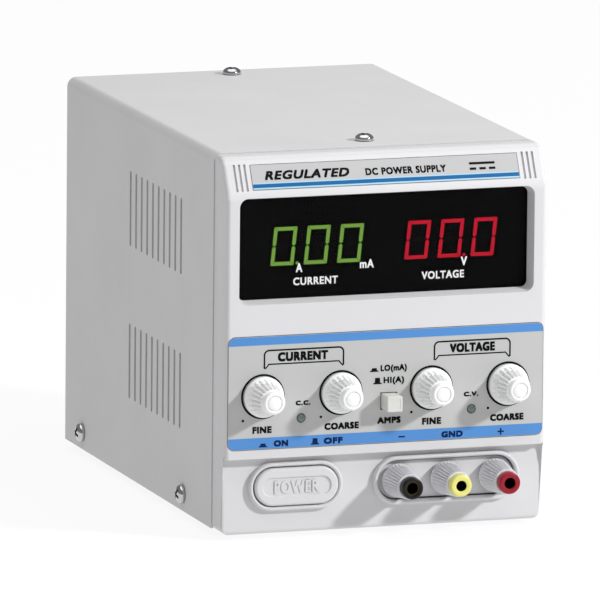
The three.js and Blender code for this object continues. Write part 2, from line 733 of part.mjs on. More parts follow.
const TRANSFORMER = { x: -20, y: 118, z: FLOOR_Z + PLATE + GAP + 29 };

// Laminations with two windows, and the coil that is wound on their middle leg.
function transformerCore() {
  const { x, y, z } = TRANSFORMER;
  const core = box(x - 35, x + 35, y - 17, y + 17, z - 29, z + 29);
  const windows = [-1, 1].map((s) => {
    const middle = x + s * 17.5;
    return box(middle - 6, middle + 6, 0, 300, z - 17.5, z + 17.5);
  });
  return cut(core, ...windows);
}

function transformerCoil() {
  const { x, y, z } = TRANSFORMER;
  const coil = box(x - 23.2, x + 23.2, y - 29, y + 29, z - 17.2, z + 17.2);
  return cut(coil, box(x - 11.8, x + 11.8, y - 17.3, y + 17.3, 0, 100));
}

function mainBoard() {
  const { w, y0, y1, z, t } = BOARD;
  return box(-w / 2, w / 2, y0, y1, z, z + t);
}

const ON_BOARD = BOARD.z + BOARD.t + GAP;

// A finned extrusion that stands on the board and cools the pass transistors.
const SINK = { x: 14, y: 38, w: 40, base: 4, fins: 7, fin: 1.6, depth: 28, h: 55 };

function heatSink() {
  const { x, y, w, base, fins, fin, depth, h } = SINK;
  let sink = box(x, x + w, y, y + base, ON_BOARD, ON_BOARD + h);
  for (let i = 0; i < fins; i++) {
    const left = x + (i * (w - fin)) / (fins - 1);
    sink = joined(sink, box(left, left + fin, y + base - 1, y + depth, ON_BOARD, ON_BOARD + h));
  }
  return sink;
}

// ---- assembly ----
const m = MATERIALS;
place("top_cover", topCover(), m.coverPaint);
place("bottom_chassis", bottomChassis(), m.zincSteel);
place("front_bezel", frontBezel(), m.bezelPlastic);
place("rear_panel", rearPanel(), m.coverPaint);
place("display_window", displayWindow(), m.smokedAcrylic);
place("current_display", meter(METER_X.current_display), m.greenDigits);
place("voltage_display", meter(METER_X.voltage_display), m.redDigits);
place("display_board", displayBoard(), m.circuitBoard);
place("control_overlay", controlOverlay(), m.overlayFilm);
place("header_label", headerLabel(), m.headerFilm);

for (const [name, x] of Object.entries(LED_X)) place(name, indicator(x), m.darkLens);
for (const [name, x] of Object.entries(KNOB_X)) {
  place(`${name}_knob`, knob(x), m.knobPlastic);
  place(`${name}_shaft`, potShaft(x), m.aluminium);
  place(`${name}_pot`, potBody(x), m.zincSteel);
}

place("range_button", rangeButton(), m.whiteButton);
place("range_switch", rangeSwitch(), m.blackPlastic);
place("power_button", powerButton(), m.bezelPlastic);
place("power_switch", powerSwitch(), m.blackPlastic);

const NUT_MATERIAL = { negative: m.blackPlastic, ground: m.yellowPlastic, positive: m.redPlastic };
place("terminal_plate", terminalPlate(), m.bezelPlastic);
for (const [name, at] of Object.entries(TERMINALS)) {
  const x = TERMINAL_PLATE.x + at * TERMINAL_PITCH;
  place(`${name}_stud`, stud(x), m.nickelBrass);
  place(`${name}_washer`, clampWasher(x), m.nickelBrass);
  place(`${name}_nut`, thumbNut(x), NUT_MATERIAL[name]);
}

place("fan_frame", fanFrame(), m.blackPlastic);
place("fan_rotor", fanRotor(), m.blackPlastic);
place("mains_inlet", mainsInlet(), m.blackPlastic);
place("fuse_holder", fuseHolder(), m.blackPlastic);
place("fuse", fuse(), m.fuseGlass);
place("fuse_cap", fuseCap(), m.blackPlastic);
place("voltage_selector", voltageSelector(), m.blackPlastic);
place("selector_slider", selectorSlider(), m.redPlastic);
place("transformer_core", transformerCore(), m.laminations);
place("transformer_coil", transformerCoil(), m.windingTape);
place("main_board", mainBoard(), m.circuitBoard);
place("heat_sink", heatSink(), m.aluminium);

const FEET = { front_left: [-44, 26], front_right: [44, 26], rear_left: [-44, 160], rear_right: [44, 160] };
for (const [name, [x, y]] of Object.entries(FEET)) place(`${name}_foot`, foot(x, y), m.rubber);

TOP_SCREW_Y.forEach((y, i) => {
  const screw = place(`top_screw_${["front", "rear"][i]}`, panScrew(), m.zincSteel);
  screw.position.set(0, y, CASE_H + GAP);
});
for (const [side, sign] of [["left", -1], ["right", 1]]) {
  SIDE_SCREW_Y.forEach((y, i) => {
    const screw = place(`${side}_screw_${["front", "rear"][i]}`, panScrew(), m.zincSteel);
    screw.position.set(sign * (CASE_W / 2 + GAP), y, SIDE_SCREW_Z);
    screw.rotation.y = (sign * Math.PI) / 2;
  });
}

// The origin is on the surface under the feet, midway between the post tips and the fuse cap.
const REAR_MOST = FUSE_MOUTH + 7.5;
shell.position.set(0, -(POST_TIP + REAR_MOST) / 2, FOOT_H);

export default supply;
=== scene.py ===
# A bench power supply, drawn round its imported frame. Every shape is made in millimetres in the
# case frame: x across from the middle, y back from the cover's front edge, z up from the cover's
# lower edge. It is then moved into the frame's metres.
from functools import partial
import math

import bmesh
import bpy
from mathutils import Matrix, Vector


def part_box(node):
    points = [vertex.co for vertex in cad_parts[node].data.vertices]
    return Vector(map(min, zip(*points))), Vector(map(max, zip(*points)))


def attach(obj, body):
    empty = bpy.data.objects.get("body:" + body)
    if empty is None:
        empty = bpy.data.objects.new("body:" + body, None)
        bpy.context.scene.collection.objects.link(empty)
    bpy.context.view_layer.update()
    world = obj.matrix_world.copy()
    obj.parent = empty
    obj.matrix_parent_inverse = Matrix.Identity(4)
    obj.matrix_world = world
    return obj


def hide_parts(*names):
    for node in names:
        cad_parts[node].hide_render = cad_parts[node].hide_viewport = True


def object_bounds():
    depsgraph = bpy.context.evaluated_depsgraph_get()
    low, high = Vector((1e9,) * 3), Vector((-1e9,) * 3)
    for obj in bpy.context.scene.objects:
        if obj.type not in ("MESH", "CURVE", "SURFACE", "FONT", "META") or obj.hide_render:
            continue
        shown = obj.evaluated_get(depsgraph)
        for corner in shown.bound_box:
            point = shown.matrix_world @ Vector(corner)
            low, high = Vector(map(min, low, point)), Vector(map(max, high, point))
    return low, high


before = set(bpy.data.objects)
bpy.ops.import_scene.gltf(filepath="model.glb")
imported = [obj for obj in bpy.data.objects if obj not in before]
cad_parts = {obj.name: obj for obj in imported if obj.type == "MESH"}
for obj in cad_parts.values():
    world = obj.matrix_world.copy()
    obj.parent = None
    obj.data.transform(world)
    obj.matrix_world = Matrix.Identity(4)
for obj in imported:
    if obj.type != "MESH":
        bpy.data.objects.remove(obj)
cad_box = [list(corner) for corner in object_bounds()]

MM = 0.001
COVER_LO, COVER_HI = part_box("top_cover")
COVER_FRONT = 0.3  # the cover's front edge stands this far behind the case frame's y = 0
CASE = Vector(((COVER_LO.x + COVER_HI.x) / 2, COVER_LO.y - COVER_FRONT * MM, COVER_LO.z))
TO_WORLD = Matrix.Translation(CASE) @ Matrix.Diagonal((MM, MM, MM, 1))


def span(node):
    """A node's lowest and highest corners, in the case frame's millimetres."""
    return tuple((corner - CASE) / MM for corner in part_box(node))


def middle(node):
    low, high = span(node)
    return (low + high) / 2


# ---- materials ----


def srgb(r, g, b):
    """A display colour from 0 to 255 as the linear colour that a shader takes."""
    def linear(c):
        c /= 255
        return c / 12.92 if c <= 0.04045 else ((c + 0.055) / 1.055) ** 2.4

    return (linear(r), linear(g), linear(b), 1)


def new_material(name):
    mat = bpy.data.materials.new(name)
    mat.use_nodes = True
    tree = mat.node_tree
    return mat, tree, tree.nodes["Principled BSDF"]


def noise(tree, scale, detail=4, stretch=(1, 1, 1)):
    """Noise in the frame's metres, so that a scale of 1000 has features about 1 mm across."""
    coords = tree.nodes.new("ShaderNodeTexCoord")
    mapping = tree.nodes.new("ShaderNodeMapping")
    mapping.inputs["Scale"].default_value = stretch
    texture = tree.nodes.new("ShaderNodeTexNoise")
    texture.inputs["Scale"].default_value = scale
    texture.inputs["Detail"].default_value = detail
    tree.links.new(coords.outputs["Object"], mapping.inputs["Vector"])
    tree.links.new(mapping.outputs["Vector"], texture.inputs["Vector"])
    return texture.outputs["Fac"]


def spread(tree, value, low, high):
    """Maps noise, which mostly lies between 0.3 and 0.7, to a range."""
    ranged = tree.nodes.new("ShaderNodeMapRange")
    ranged.inputs["From Min"].default_value = 0.3
    ranged.inputs["From Max"].default_value = 0.7
    ranged.inputs["To Min"].default_value = low
    ranged.inputs["To Max"].default_value = high
    tree.links.new(value, ranged.inputs["Value"])
    return ranged.outputs["Result"]


def blend_colours(tree, value, first, second):
    mix = tree.nodes.new("ShaderNodeMix")
    mix.data_type = "RGBA"
    mix.inputs["A"].default_value = first
    mix.inputs["B"].default_value = second
    tree.links.new(value, mix.inputs["Factor"])
    return mix.outputs["Result"]


def bumped(tree, bsdf, value, height_mm):
    bump = tree.nodes.new("ShaderNodeBump")
    bump.inputs["Distance"].default_value = height_mm * MM
    tree.links.new(value, bump.inputs["Height"])
    tree.links.new(bump.outputs["Normal"], bsdf.inputs["Normal"])


def surface(name, rgb, roughness, metallic=0.0, mottle=0.04, grain=900, height=0.02,
            patch=25, stretch=(1, 1, 1), specular=0.5, coat=0.0, emission=None):
    """A finish with a slow drift in colour, a patchy gloss and a fine grain in its surface."""
    mat, tree, bsdf = new_material(name)
    colour = srgb(*rgb)
    darker = tuple(c * (1 - mottle) for c in colour[:3]) + (1,)
    lighter = tuple(min(c * (1 + mottle), 1) for c in colour[:3]) + (1,)
    drift = spread(tree, noise(tree, patch, 5), 0, 1)
    tree.links.new(blend_colours(tree, drift, darker, lighter), bsdf.inputs["Base Color"])
    gloss = spread(tree, noise(tree, patch * 7, 6, stretch), roughness - 0.06, roughness + 0.06)
    tree.links.new(gloss, bsdf.inputs["Roughness"])
    bumped(tree, bsdf, noise(tree, grain, 3, stretch), height)
    bsdf.inputs["Metallic"].default_value = metallic
    bsdf.inputs["Specular IOR Level"].default_value = specular
    bsdf.inputs["Coat Weight"].default_value = coat
    if emission:
        bsdf.inputs["Emission Color"].default_value = emission[0]
        bsdf.inputs["Emission Strength"].default_value = emission[1]
    return mat


def smoked_glass():
    mat, tree, bsdf = new_material("smoked_acrylic")
    haze = spread(tree, noise(tree, 60, 4), 0.02, 0.06)
    tree.links.new(haze, bsdf.inputs["Roughness"])
    tint = blend_colours(tree, noise(tree, 20), (0.17, 0.17, 0.175, 1), (0.19, 0.19, 0.195, 1))
    tree.links.new(tint, bsdf.inputs["Base Color"])
    bsdf.inputs["Transmission Weight"].default_value = 1
    bsdf.inputs["IOR"].default_value = 1.12  # a coated pane, which hardly reflects the room
    return mat


# Finishes that share a grain.
film = partial(surface, grain=3200, height=0.005)
ink = partial(surface, grain=2600, height=0.004)
moulded = partial(surface, mottle=0.01, grain=1800, height=0.008)
metal = partial(surface, metallic=1, mottle=0.1, grain=1500, height=0.004)
tip = partial(surface, grain=1200, height=0.004)

COVER_PAINT = surface("cover_paint", (206, 206, 207), 0.62, mottle=0.02, grain=1400, specular=0.15)
BEZEL = moulded("bezel_plastic", (207, 206, 208), 0.5, grain=2200, height=0.01, specular=0.25)
BUTTON = moulded("button_plastic", (204, 204, 200), 0.4)
KNOB = moulded("knob_plastic", (238, 238, 238), 0.34, height=0.006, specular=0.4)
POST_GREY = moulded("post_plastic", (216, 216, 219), 0.38, mottle=0.02)
FILM = film("control_film", (183, 184, 183), 0.45, mottle=0.01, specular=0.25)
HEADER = film("header_film", (180, 180, 181), 0.4, mottle=0.02, specular=0.25)
BAND_BLUE = film("band_blue", (80, 136, 199), 0.45, mottle=0.015, specular=0.2)
LINE_BLUE = film("line_blue", (14, 92, 146), 0.45, mottle=0.02, specular=0.2)
PALE_BLUE = film("line_pale_blue", (160, 200, 222), 0.4, mottle=0.01)
INK_BLACK = ink("ink_black", (10, 10, 12), 0.6, mottle=0.1, specular=0.08)
INK_NAVY = ink("ink_navy", (10, 34, 84), 0.6, mottle=0.06, specular=0.08)
INK_WHITE = ink("ink_white", (226, 226, 226), 0.45, mottle=0.02)
MASK_BLACK = surface("meter_mask", (12, 13, 13), 0.6, mottle=0.1, grain=1500, height=0.01)
SMOKED = smoked_glass()
GREEN_LIT = surface("green_segment", (120, 160, 70), 0.4, mottle=0.05,
                    emission=(srgb(176, 240, 104), 2.1))
RED_LIT = surface("red_segment", (150, 30, 44), 0.4, mottle=0.05,
                  emission=(srgb(255, 40, 66), 2.7))
GREEN_DARK = surface("green_segment_off", (30, 38, 26), 0.4, mottle=0.05)
RED_DARK = surface("red_segment_off", (42, 22, 25), 0.4, mottle=0.05)
LENS = surface("indicator_lens", (104, 116, 108), 0.3, mottle=0.05, height=0.004, coat=0.1)
RUBBER = surface("foot_rubber", (34, 34, 35), 0.8, mottle=0.12, grain=2400, height=0.03)
BLACK = surface("black_plastic", (32, 32, 34), 0.45, mottle=0.08, grain=1800)
TIP_BLACK = tip("tip_black", (9, 9, 14), 0.34, mottle=0.06, specular=0.3)
TIP_YELLOW = tip("tip_yellow", (218, 214, 122), 0.32, mottle=0.03, specular=0.35)
TIP_RED = tip("tip_red", (140, 6, 34), 0.3, mottle=0.05, specular=0.35)
SCREW = metal("screw_steel", (196, 196, 198), 0.14)
ZINC = metal("zinc_steel", (184, 186, 190), 0.36, patch=90, grain=700, height=0.01)
BRASS = metal("nickel_brass", (206, 200, 184), 0.24, mottle=0.06)
# Brass darkened far below its own colour: painted shade that stands for the dark inside the sockets.
SOCKET_BRASS_PAINTED_SHADE = metal("socket_brass", (66, 58, 40), 0.3)
ALUMINIUM = metal("turned_aluminium", (190, 192, 196), 0.35, mottle=0.05, grain=1200, height=0.008,
                  stretch=(1, 6, 1))
BOARD = surface("circuit_board", (24, 92, 56), 0.35, mottle=0.12, patch=140)
IRON = surface("core_iron", (78, 72, 70), 0.5, metallic=0.7, mottle=0.15, patch=60, grain=2500,
               height=0.06, stretch=(1, 0.05, 1))
TAPE = surface("winding_tape", (214, 176, 58), 0.45, mottle=0.08, patch=60, height=0.03)
GLASS = surface("fuse_glass", (214, 222, 220), 0.08, mottle=0.02, grain=500, height=0.002)

# ---- making pieces ----


def linked(name, data):
    obj = bpy.data.objects.new(name, data)
    bpy.context.scene.collection.objects.link(obj)
    return obj


def keep(mesh_or_bm, name, mat, body, smooth=40):
    """Turns a shape in case millimetres into a piece in the frame.

    Edges over smooth degrees stay sharp, unless edged() has already set the shape's normals.
    """
    if isinstance(mesh_or_bm, bmesh.types.BMesh):
        bmesh.ops.recalc_face_normals(mesh_or_bm, faces=mesh_or_bm.faces)
        mesh = bpy.data.meshes.new(name)
        mesh_or_bm.to_mesh(mesh)
        mesh_or_bm.free()
    else:
        mesh = mesh_or_bm
    mesh.name = name
    mesh.transform(TO_WORLD)
    if not mesh.has_custom_normals:
        mesh.shade_smooth()
        mesh.set_sharp_from_angle(angle=math.radians(smooth))
    piece = linked(name, mesh)
    mesh.materials.clear()
    mesh.materials.append(mat)
    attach(piece, body)
    return piece


def scratch(bm):
    """A shape as a loose object, to cut or bevel before it is kept."""
    bmesh.ops.recalc_face_normals(bm, faces=bm.faces)
    mesh = bpy.data.meshes.new("scratch")
    bm.to_mesh(mesh)
    bm.free()
    return linked("scratch", mesh)


def applied(obj):
    """The object's mesh with its modifiers applied; the object itself is removed."""
    graph = bpy.context.evaluated_depsgraph_get()
    mesh = bpy.data.meshes.new_from_object(obj.evaluated_get(graph))
    bpy.data.objects.remove(obj)
    return mesh


def combined(base, tools, operation="DIFFERENCE"):
    """Cuts tools from a loose object, or joins them to it, one boolean after another."""
    tools = [scratch(tool) for tool in tools]
    for tool in tools:
        modifier = base.modifiers.new("boolean", "BOOLEAN")
        modifier.solver = "EXACT"
        modifier.operation = operation
        modifier.object = tool
    graph = bpy.context.evaluated_depsgraph_get()
    mesh = bpy.data.meshes.new_from_object(base.evaluated_get(graph))
    base.modifiers.clear()
    base.data = mesh
    for tool in tools:
        bpy.data.objects.remove(tool)
    return base


def edged(obj, width, segments=3, angle=35):
    """Rounds a loose shape's sharp edges and evens out its shading."""
    bevel = obj.modifiers.new("bevel", "BEVEL")
    bevel.width = width
    bevel.segments = segments
    bevel.limit_method = "ANGLE"
    bevel.angle_limit = math.radians(angle)
    mesh = applied(obj)
    mesh.shade_smooth()
    mesh.set_sharp_from_angle(angle=math.radians(50))
    rounded = linked("scratch", mesh)
    normals = rounded.modifiers.new("normals", "WEIGHTED_NORMAL")
    normals.keep_sharp = True
    return applied(rounded)


def arc(x, z, r, start, end, n=8):
    """(x, z) pairs along an arc, between two angles in degrees from +X towards +Z."""
    angles = [math.radians(start + (end - start) * i / n) for i in range(n + 1)]
    return [(x + r * math.cos(a), z + r * math.sin(a)) for a in angles]


def dome(r, y, rise):
    """The curved part of a turned profile that domes from radius r at y towards -Y."""
    angles = [math.pi / 2 * i / 8 for i in range(1, 8)]
    return [(r * math.cos(a), y - rise * math.sin(a)) for a in angles]


def circle(r, y, x=0, z=0, n=64, flutes=0, depth=0):
    """Points round the Y axis; flutes cut shallow waves into them."""
    points = []
    for i in range(n):
        a = 2 * math.pi * i / n
        wave = depth * (0.5 - 0.5 * math.cos(flutes * a))
        points.append(Vector((x + (r - wave) * math.sin(a), y, z + (r - wave) * math.cos(a))))
    return points


def oval(w, h, y, x=0, z=0, n=24):
    points = []
    for side in (1, -1):
        for i in range(n):
            a = math.pi * i / (n - 1)
            points.append(Vector((
                x + side * ((w - h) / 2 + h / 2 * math.sin(a)), y, z + side * h / 2 * math.cos(a))))
    return points


def rect(w, h, r, y, x=0, z=0, n=7):
    points = []
    for quarter in range(4):
        cx = (w / 2 - r) * (1, 1, -1, -1)[quarter]
        cz = (h / 2 - r) * (1, -1, -1, 1)[quarter]
        for i in range(n):
            a = math.pi / 2 * (quarter + i / (n - 1))
            points.append(Vector((x + cx + r * math.sin(a), y, z + cz + r * math.cos(a))))
    return points


def loft(rings, loop=False):
    """Joins rings of equally many points, capping the ends or, in a loop, joining last to first."""
    bm = bmesh.new()
    rows = [[bm.verts.new(p) for p in ring] for ring in rings]
    pairs = list(zip(rows, rows[1:]))
    if loop:
        pairs.append((rows[-1], rows[0]))
    for a, b in pairs:
        for i in range(len(a)):
            j = (i + 1) % len(a)
            bm.faces.new((a[i], a[j], b[j], b[i]))
    if not loop:
        bm.faces.new(reversed(rows[0]))
        bm.faces.new(rows[-1])
    return bm


def turned(profile, x, z, n=64, loop=False):
    """A turned shape round Y: the profile is (radius, y) pairs."""
    return loft([circle(r, y, x, z, n) for r, y in profile], loop)


def soft_plate(ring, w, h, y_front, y_back, edge, *args):
    """A plate with a quarter-round front edge. ring is rect or oval; args holds rect's corner
    radius, then x and z."""
    *corner, x, z = args
    rings = [ring(w, h, *corner, y_back, x, z)]
    steps = 4
    for i in range(steps + 1):
        a = math.pi / 2 * i / steps
        inset = edge * (1 - math.cos(a))
        y = y_front + edge * (1 - math.sin(a))
        rings.append(ring(w - 2 * inset, h - 2 * inset, *corner, y, x, z))
    return loft(rings)


def block(x0, x1, y0, y1, z0, z1):
    bm = bmesh.new()
    bmesh.ops.create_cube(bm, size=1)
    centre = Vector(((x0 + x1) / 2, (y0 + y1) / 2, (z0 + z1) / 2))
    size = (x1 - x0, y1 - y0, z1 - z0, 1)
    bm.transform(Matrix.Translation(centre) @ Matrix.Diagonal(size))
    return bm


def prism(outline, y0, y1):
    """An outline of (x, z) pairs, as thick as y0 to y1."""
    return loft([[Vector((x, y, z)) for x, z in outline] for y in (y0, y1)])


def merged(*shapes):
    """Several shapes in one, side by side."""
    bm = bmesh.new()
    for shape in shapes:
        mesh = bpy.data.meshes.new("part")
        bmesh.ops.recalc_face_normals(shape, faces=shape.faces)
        shape.to_mesh(mesh)
        shape.free()
        bm.from_mesh(mesh)
        bpy.data.meshes.remove(mesh)
    return bm


# ---- lettering ----

INK = 0.05  # how far a print stands off what it is printed on


def lettering(name, words, x, z, cap, width, mat, y=0, bold=0.15, slant=0.0,
              rise=INK, turn=None, body="root"):
    """A line of type that faces the front, centred on x and z, as high as cap and as wide as width.

    The strokes are thickened by bold on each side, by laying copies of the line over each other.
    """
    curve = bpy.data.curves.new(name, "FONT")
    curve.body = words
    curve.shear = slant
    curve.space_character = 1.12
    curve.resolution_u = 3
    curve.extrude = 0.5
    plain = applied(linked(name, curve))
    xs = [v.co.x for v in plain.vertices]
    high = max(v.co.y for v in plain.vertices)
    centre = (max(xs) + min(xs)) / 2
    size = ((width - 2 * bold) / (max(xs) - min(xs)), (cap - 2 * bold) / high, rise)
    plain.transform(Matrix.Diagonal((*size, 1)) @ Matrix.Translation((-centre, -high / 2, 0)))
    plain.transform(Matrix.Rotation(math.pi / 2, 4, "X"))
    line = bmesh.new()
    for i, (dx, dz) in enumerate(((0, 0), (-1, -1), (1, -1), (1, 1), (-1, 1))):
        copy = plain.copy()
        # Each copy stands a little further out than the last, so that no two faces coincide.
        thicker = Matrix.Diagonal((1, 1 + 0.03 * i, 1, 1))
        copy.transform(Matrix.Translation((dx * bold, 0, dz * bold)) @ thicker)
        line.from_mesh(copy)
        bpy.data.meshes.remove(copy)
    place = Matrix.Translation((x, y, z))
    line.transform(turn @ place if turn else place)
    return keep(line, name, mat, body)


# ---- the sheet-metal case ----

WALL = 1.0
BEND = 3.6
VENT_COUNT = 10
VENT_PITCH = 6.9
VENT_WIDTH = 2.1
VENT_LENGTH = 29
VENT_FRONT = 38
VENT_ROWS = (30.5, 89)
SIDE_SCREWS_Y = (34.5, 160)
SIDE_SCREW_Z = 6.5
CLEARANCE_R = 2.1
THROUGH = 70  # half as long as the tools that cut both sides at once


def u_profile(w, h, bend, thick):
    """The bent sheet's outline: over the outside, then back along the inside."""
    def over(half_w, top, radius):
        x, z = half_w - radius, top - radius
        bends = arc(x, z, radius, 0, 90, 12) + arc(-x, z, radius, 90, 180, 12)
        return [(half_w, 0)] + bends + [(-half_w, 0)]

    return over(w / 2, h, bend) + over(w / 2 - thick, h - thick, bend - thick)[::-1]


def along_x(bm, x0, x1, y, z):
    """Turns a shape made round Y at the origin, 0 to 1 deep, to lie along X."""
    bm.transform(Matrix.Translation((x0, y, z)) @ Matrix.Diagonal((x1 - x0, 1, 1, 1))
                 @ Matrix.Rotation(-math.pi / 2, 4, "Z"))
    return bm


def upright(bm, x, y, z):
    """Turns a shape made round Y, pointing to -Y, to point up, at x, y, z."""
    bm.transform(Matrix.Translation((x, y, z)) @ Matrix.Rotation(-math.pi / 2, 4, "X"))
    return bm


def cover():
    low, high = span("top_cover")
    outline = u_profile(high.x - low.x, high.z - low.z, BEND, WALL)
    sheet = scratch(prism(outline, low.y, high.y))
    slots = []
    for row in VENT_ROWS:
        for i in range(VENT_COUNT):
            y = VENT_FRONT + i * VENT_PITCH + VENT_WIDTH / 2
            slot = loft([rect(VENT_WIDTH, VENT_LENGTH, VENT_WIDTH / 2 - 0.02, end, 0, 0, 4)
                         for end in (0, 1)])
            slots.append(along_x(slot, -THROUGH, THROUGH, y, row + VENT_LENGTH / 2))
    combined(sheet, [merged(*slots)])
    holes = []
    for y in SIDE_SCREWS_Y:
        tool = turned([(CLEARANCE_R, 0), (CLEARANCE_R, 1)], 0, 0, 24)
        holes.append(along_x(tool, -THROUGH, THROUGH, y, SIDE_SCREW_Z))
    combined(sheet, holes)
    piece = keep(edged(sheet, 0.22, 2), "cover_shell", COVER_PAINT, "root")
    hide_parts("top_cover")


def dome_screw(name, node, direction):
    """A pan-head screw with a cross recess, at a CAD screw's place. direction is where it points."""
    low, high = span(node)
    centre = middle(node)
    head_r, rise = 3.5, 2.5
    profile = [(1.7, 6.4), (1.7, 0), (head_r, 0), (head_r, -0.6)] + dome(head_r, -0.6, 1.9)
    cross = []
    for turn in (0.5, 0.5 + math.pi / 2):
        arm = block(-2.2, 2.2, -3.4, -0.7, -0.55, 0.55)
        arm.transform(Matrix.Rotation(turn, 4, "Y"))
        cross.append(arm)
    mesh = edged(combined(scratch(turned(profile, 0, 0, 40)), cross), 0.1, 2)
    if direction == "top":
        mesh.transform(Matrix.Rotation(-math.pi / 2, 4, "X"))
        mesh.transform(Matrix.Translation((centre.x, centre.y, high.z - rise)))
    else:
        side = 1 if direction == "right" else -1
        mesh.transform(Matrix.Rotation(side * math.pi / 2, 4, "Z"))
        outer = high.x if side > 0 else low.x
        mesh.transform(Matrix.Translation((outer - side * rise, centre.y, centre.z)))
    piece = keep(mesh, name, SCREW, "root")
    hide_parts(node)


def foot(name, node):
    low, high = span(node)
    centre = middle(node)
    tall = high.z - low.z
    profile = [(2.2, 1.8), (2.2, 0), (4.6, 0), (5.3, 0.3), (5.45, 0.7), (6.35, tall - 0.4),
               (6.35, tall)]
    bm = turned([(r, -up) for r, up in profile], 0, 0, 40)
    upright(bm, centre.x, centre.y, low.z)
    piece = keep(bm, name, RUBBER, "root", 35)
    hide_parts(node)


# ---- front bezel ----

BEZEL_LO, BEZEL_HI = span("front_bezel")
FRONT = BEZEL_LO.y
STRIP = -10.5
SHELL = 2.5
STEP_Z = (27.8, 28.3)  # the underside of the control face slopes between these heights
LEAN_START = 126.6
LEAN_TOP = (-8.0, 139.0)
LEAN = math.atan2(LEAN_TOP[0] - FRONT, LEAN_TOP[1] - LEAN_START)
HEADER_UP = 0.6  # how far up the lean the label's middle is from the lean's own middle
HEADER_PLACE = (Matrix.Translation((0, (FRONT + LEAN_TOP[0]) / 2, (LEAN_START + LEAN_TOP[1]) / 2))
                @ Matrix.Rotation(-LEAN, 4, "X") @ Matrix.Translation((0, 0, HEADER_UP)))

POWER_AT = middle("power_button")
POSTS = {name: middle(name + "_stud") for name in ("negative", "ground", "positive")}
PLATE_LO, PLATE_HI = span("terminal_plate")
PLATE_AT = (PLATE_LO + PLATE_HI) / 2
OVAL_POWER = (32.6, 14.2)
OVAL_TERMINALS = (53.4, 14.4)
RIM_GAP = 0.6  # how much wider a rim's opening is than the piece in it
RIM_WIDTH = 1.8
RIM_PROUD = 2.2
WINDOW = middle("display_window")
WINDOW_SIZE = (112.6, 37.4)
WINDOW_DRAFT = 1.5
WINDOW_DEPTH = 5.2
FILM_LO, FILM_HI = span("control_overlay")
FILM_AT = (FILM_LO + FILM_HI) / 2


def bezel_outline(inset, top, bottom):
    """The bezel's section in y and z, from the rear underside round the front to the rear top."""
    start = 5 if inset else 0
    points = [(start, bottom), (STRIP + inset, bottom)]
    points += [(STRIP + inset, STEP_Z[0] + inset), (FRONT + inset, STEP_Z[1] + inset)]
    points += [(FRONT + inset, LEAN_START), (LEAN_TOP[0] + inset, LEAN_TOP[1] - inset)]
    if not inset:
        points.append((LEAN_TOP[0] + 2.2, top))
    return points + [(start, top)]


def across(outline, w):
    """A section in y and z, made w wide in x."""
    return loft([[Vector((x, y, z)) for y, z in outline] for x in (-w / 2, w / 2)])


def bezel_body():
    """The outer form. Its outline's corners, then its front edges, are rounded."""
    w = BEZEL_HI.x - BEZEL_LO.x
    bottom, top = BEZEL_LO.z, BEZEL_HI.z
    body = across(bezel_outline(0, top, bottom), w)
    rear = [e for e in body.edges if all(abs(v.co.y) < 0.01 for v in e.verts)]
    corners = [e for e in body.edges
               if e not in rear and abs(e.verts[0].co.x - e.verts[1].co.x) < 0.01]
    lengthwise = [e for e in body.edges if e not in rear and e not in corners]
    crisp = [e for e in lengthwise if STEP_Z[0] - 0.01 < e.verts[0].co.z < STEP_Z[1] + 0.01]
    rounded = [e for e in corners + lengthwise if e not in crisp]
    bmesh.ops.bevel(body, geom=rounded, offset=1.7, segments=5, profile=0.5, affect="EDGES",
                    clamp_overlap=False)
    body = scratch(body)
    frame_shape = loft([
        rect(w + 0.02, top - bottom + 0.02, BEND, y, 0, (top + bottom) / 2, 10) for y in (-40, 20)])
    return combined(body, [frame_shape], "INTERSECT")


def use(mat, *nodes):
    """Gives CAD nodes that keep their own shape a finished material."""
    for node in nodes:
        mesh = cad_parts[node].data
        mesh.materials.clear()
        mesh.materials.append(mat)


def rim(w, h, x, z):
    """A raised oval rim with a rounded crest, as a ring round an opening of w by h."""
    rings = []
    steps = 8
    for i in range(steps + 1):
        a = math.pi * i / steps
        grow = RIM_WIDTH * (1 + math.cos(a)) / 2
        y = STRIP - RIM_PROUD * math.sin(a) ** 0.6
        rings.append(oval(w + 2 * grow, h + 2 * grow, y, x, z))
    rings.append(oval(w, h, STRIP + SHELL, x, z))
    rings.append(oval(w + 2 * RIM_WIDTH, h + 2 * RIM_WIDTH, STRIP + SHELL, x, z))
    return loft(rings, loop=True)


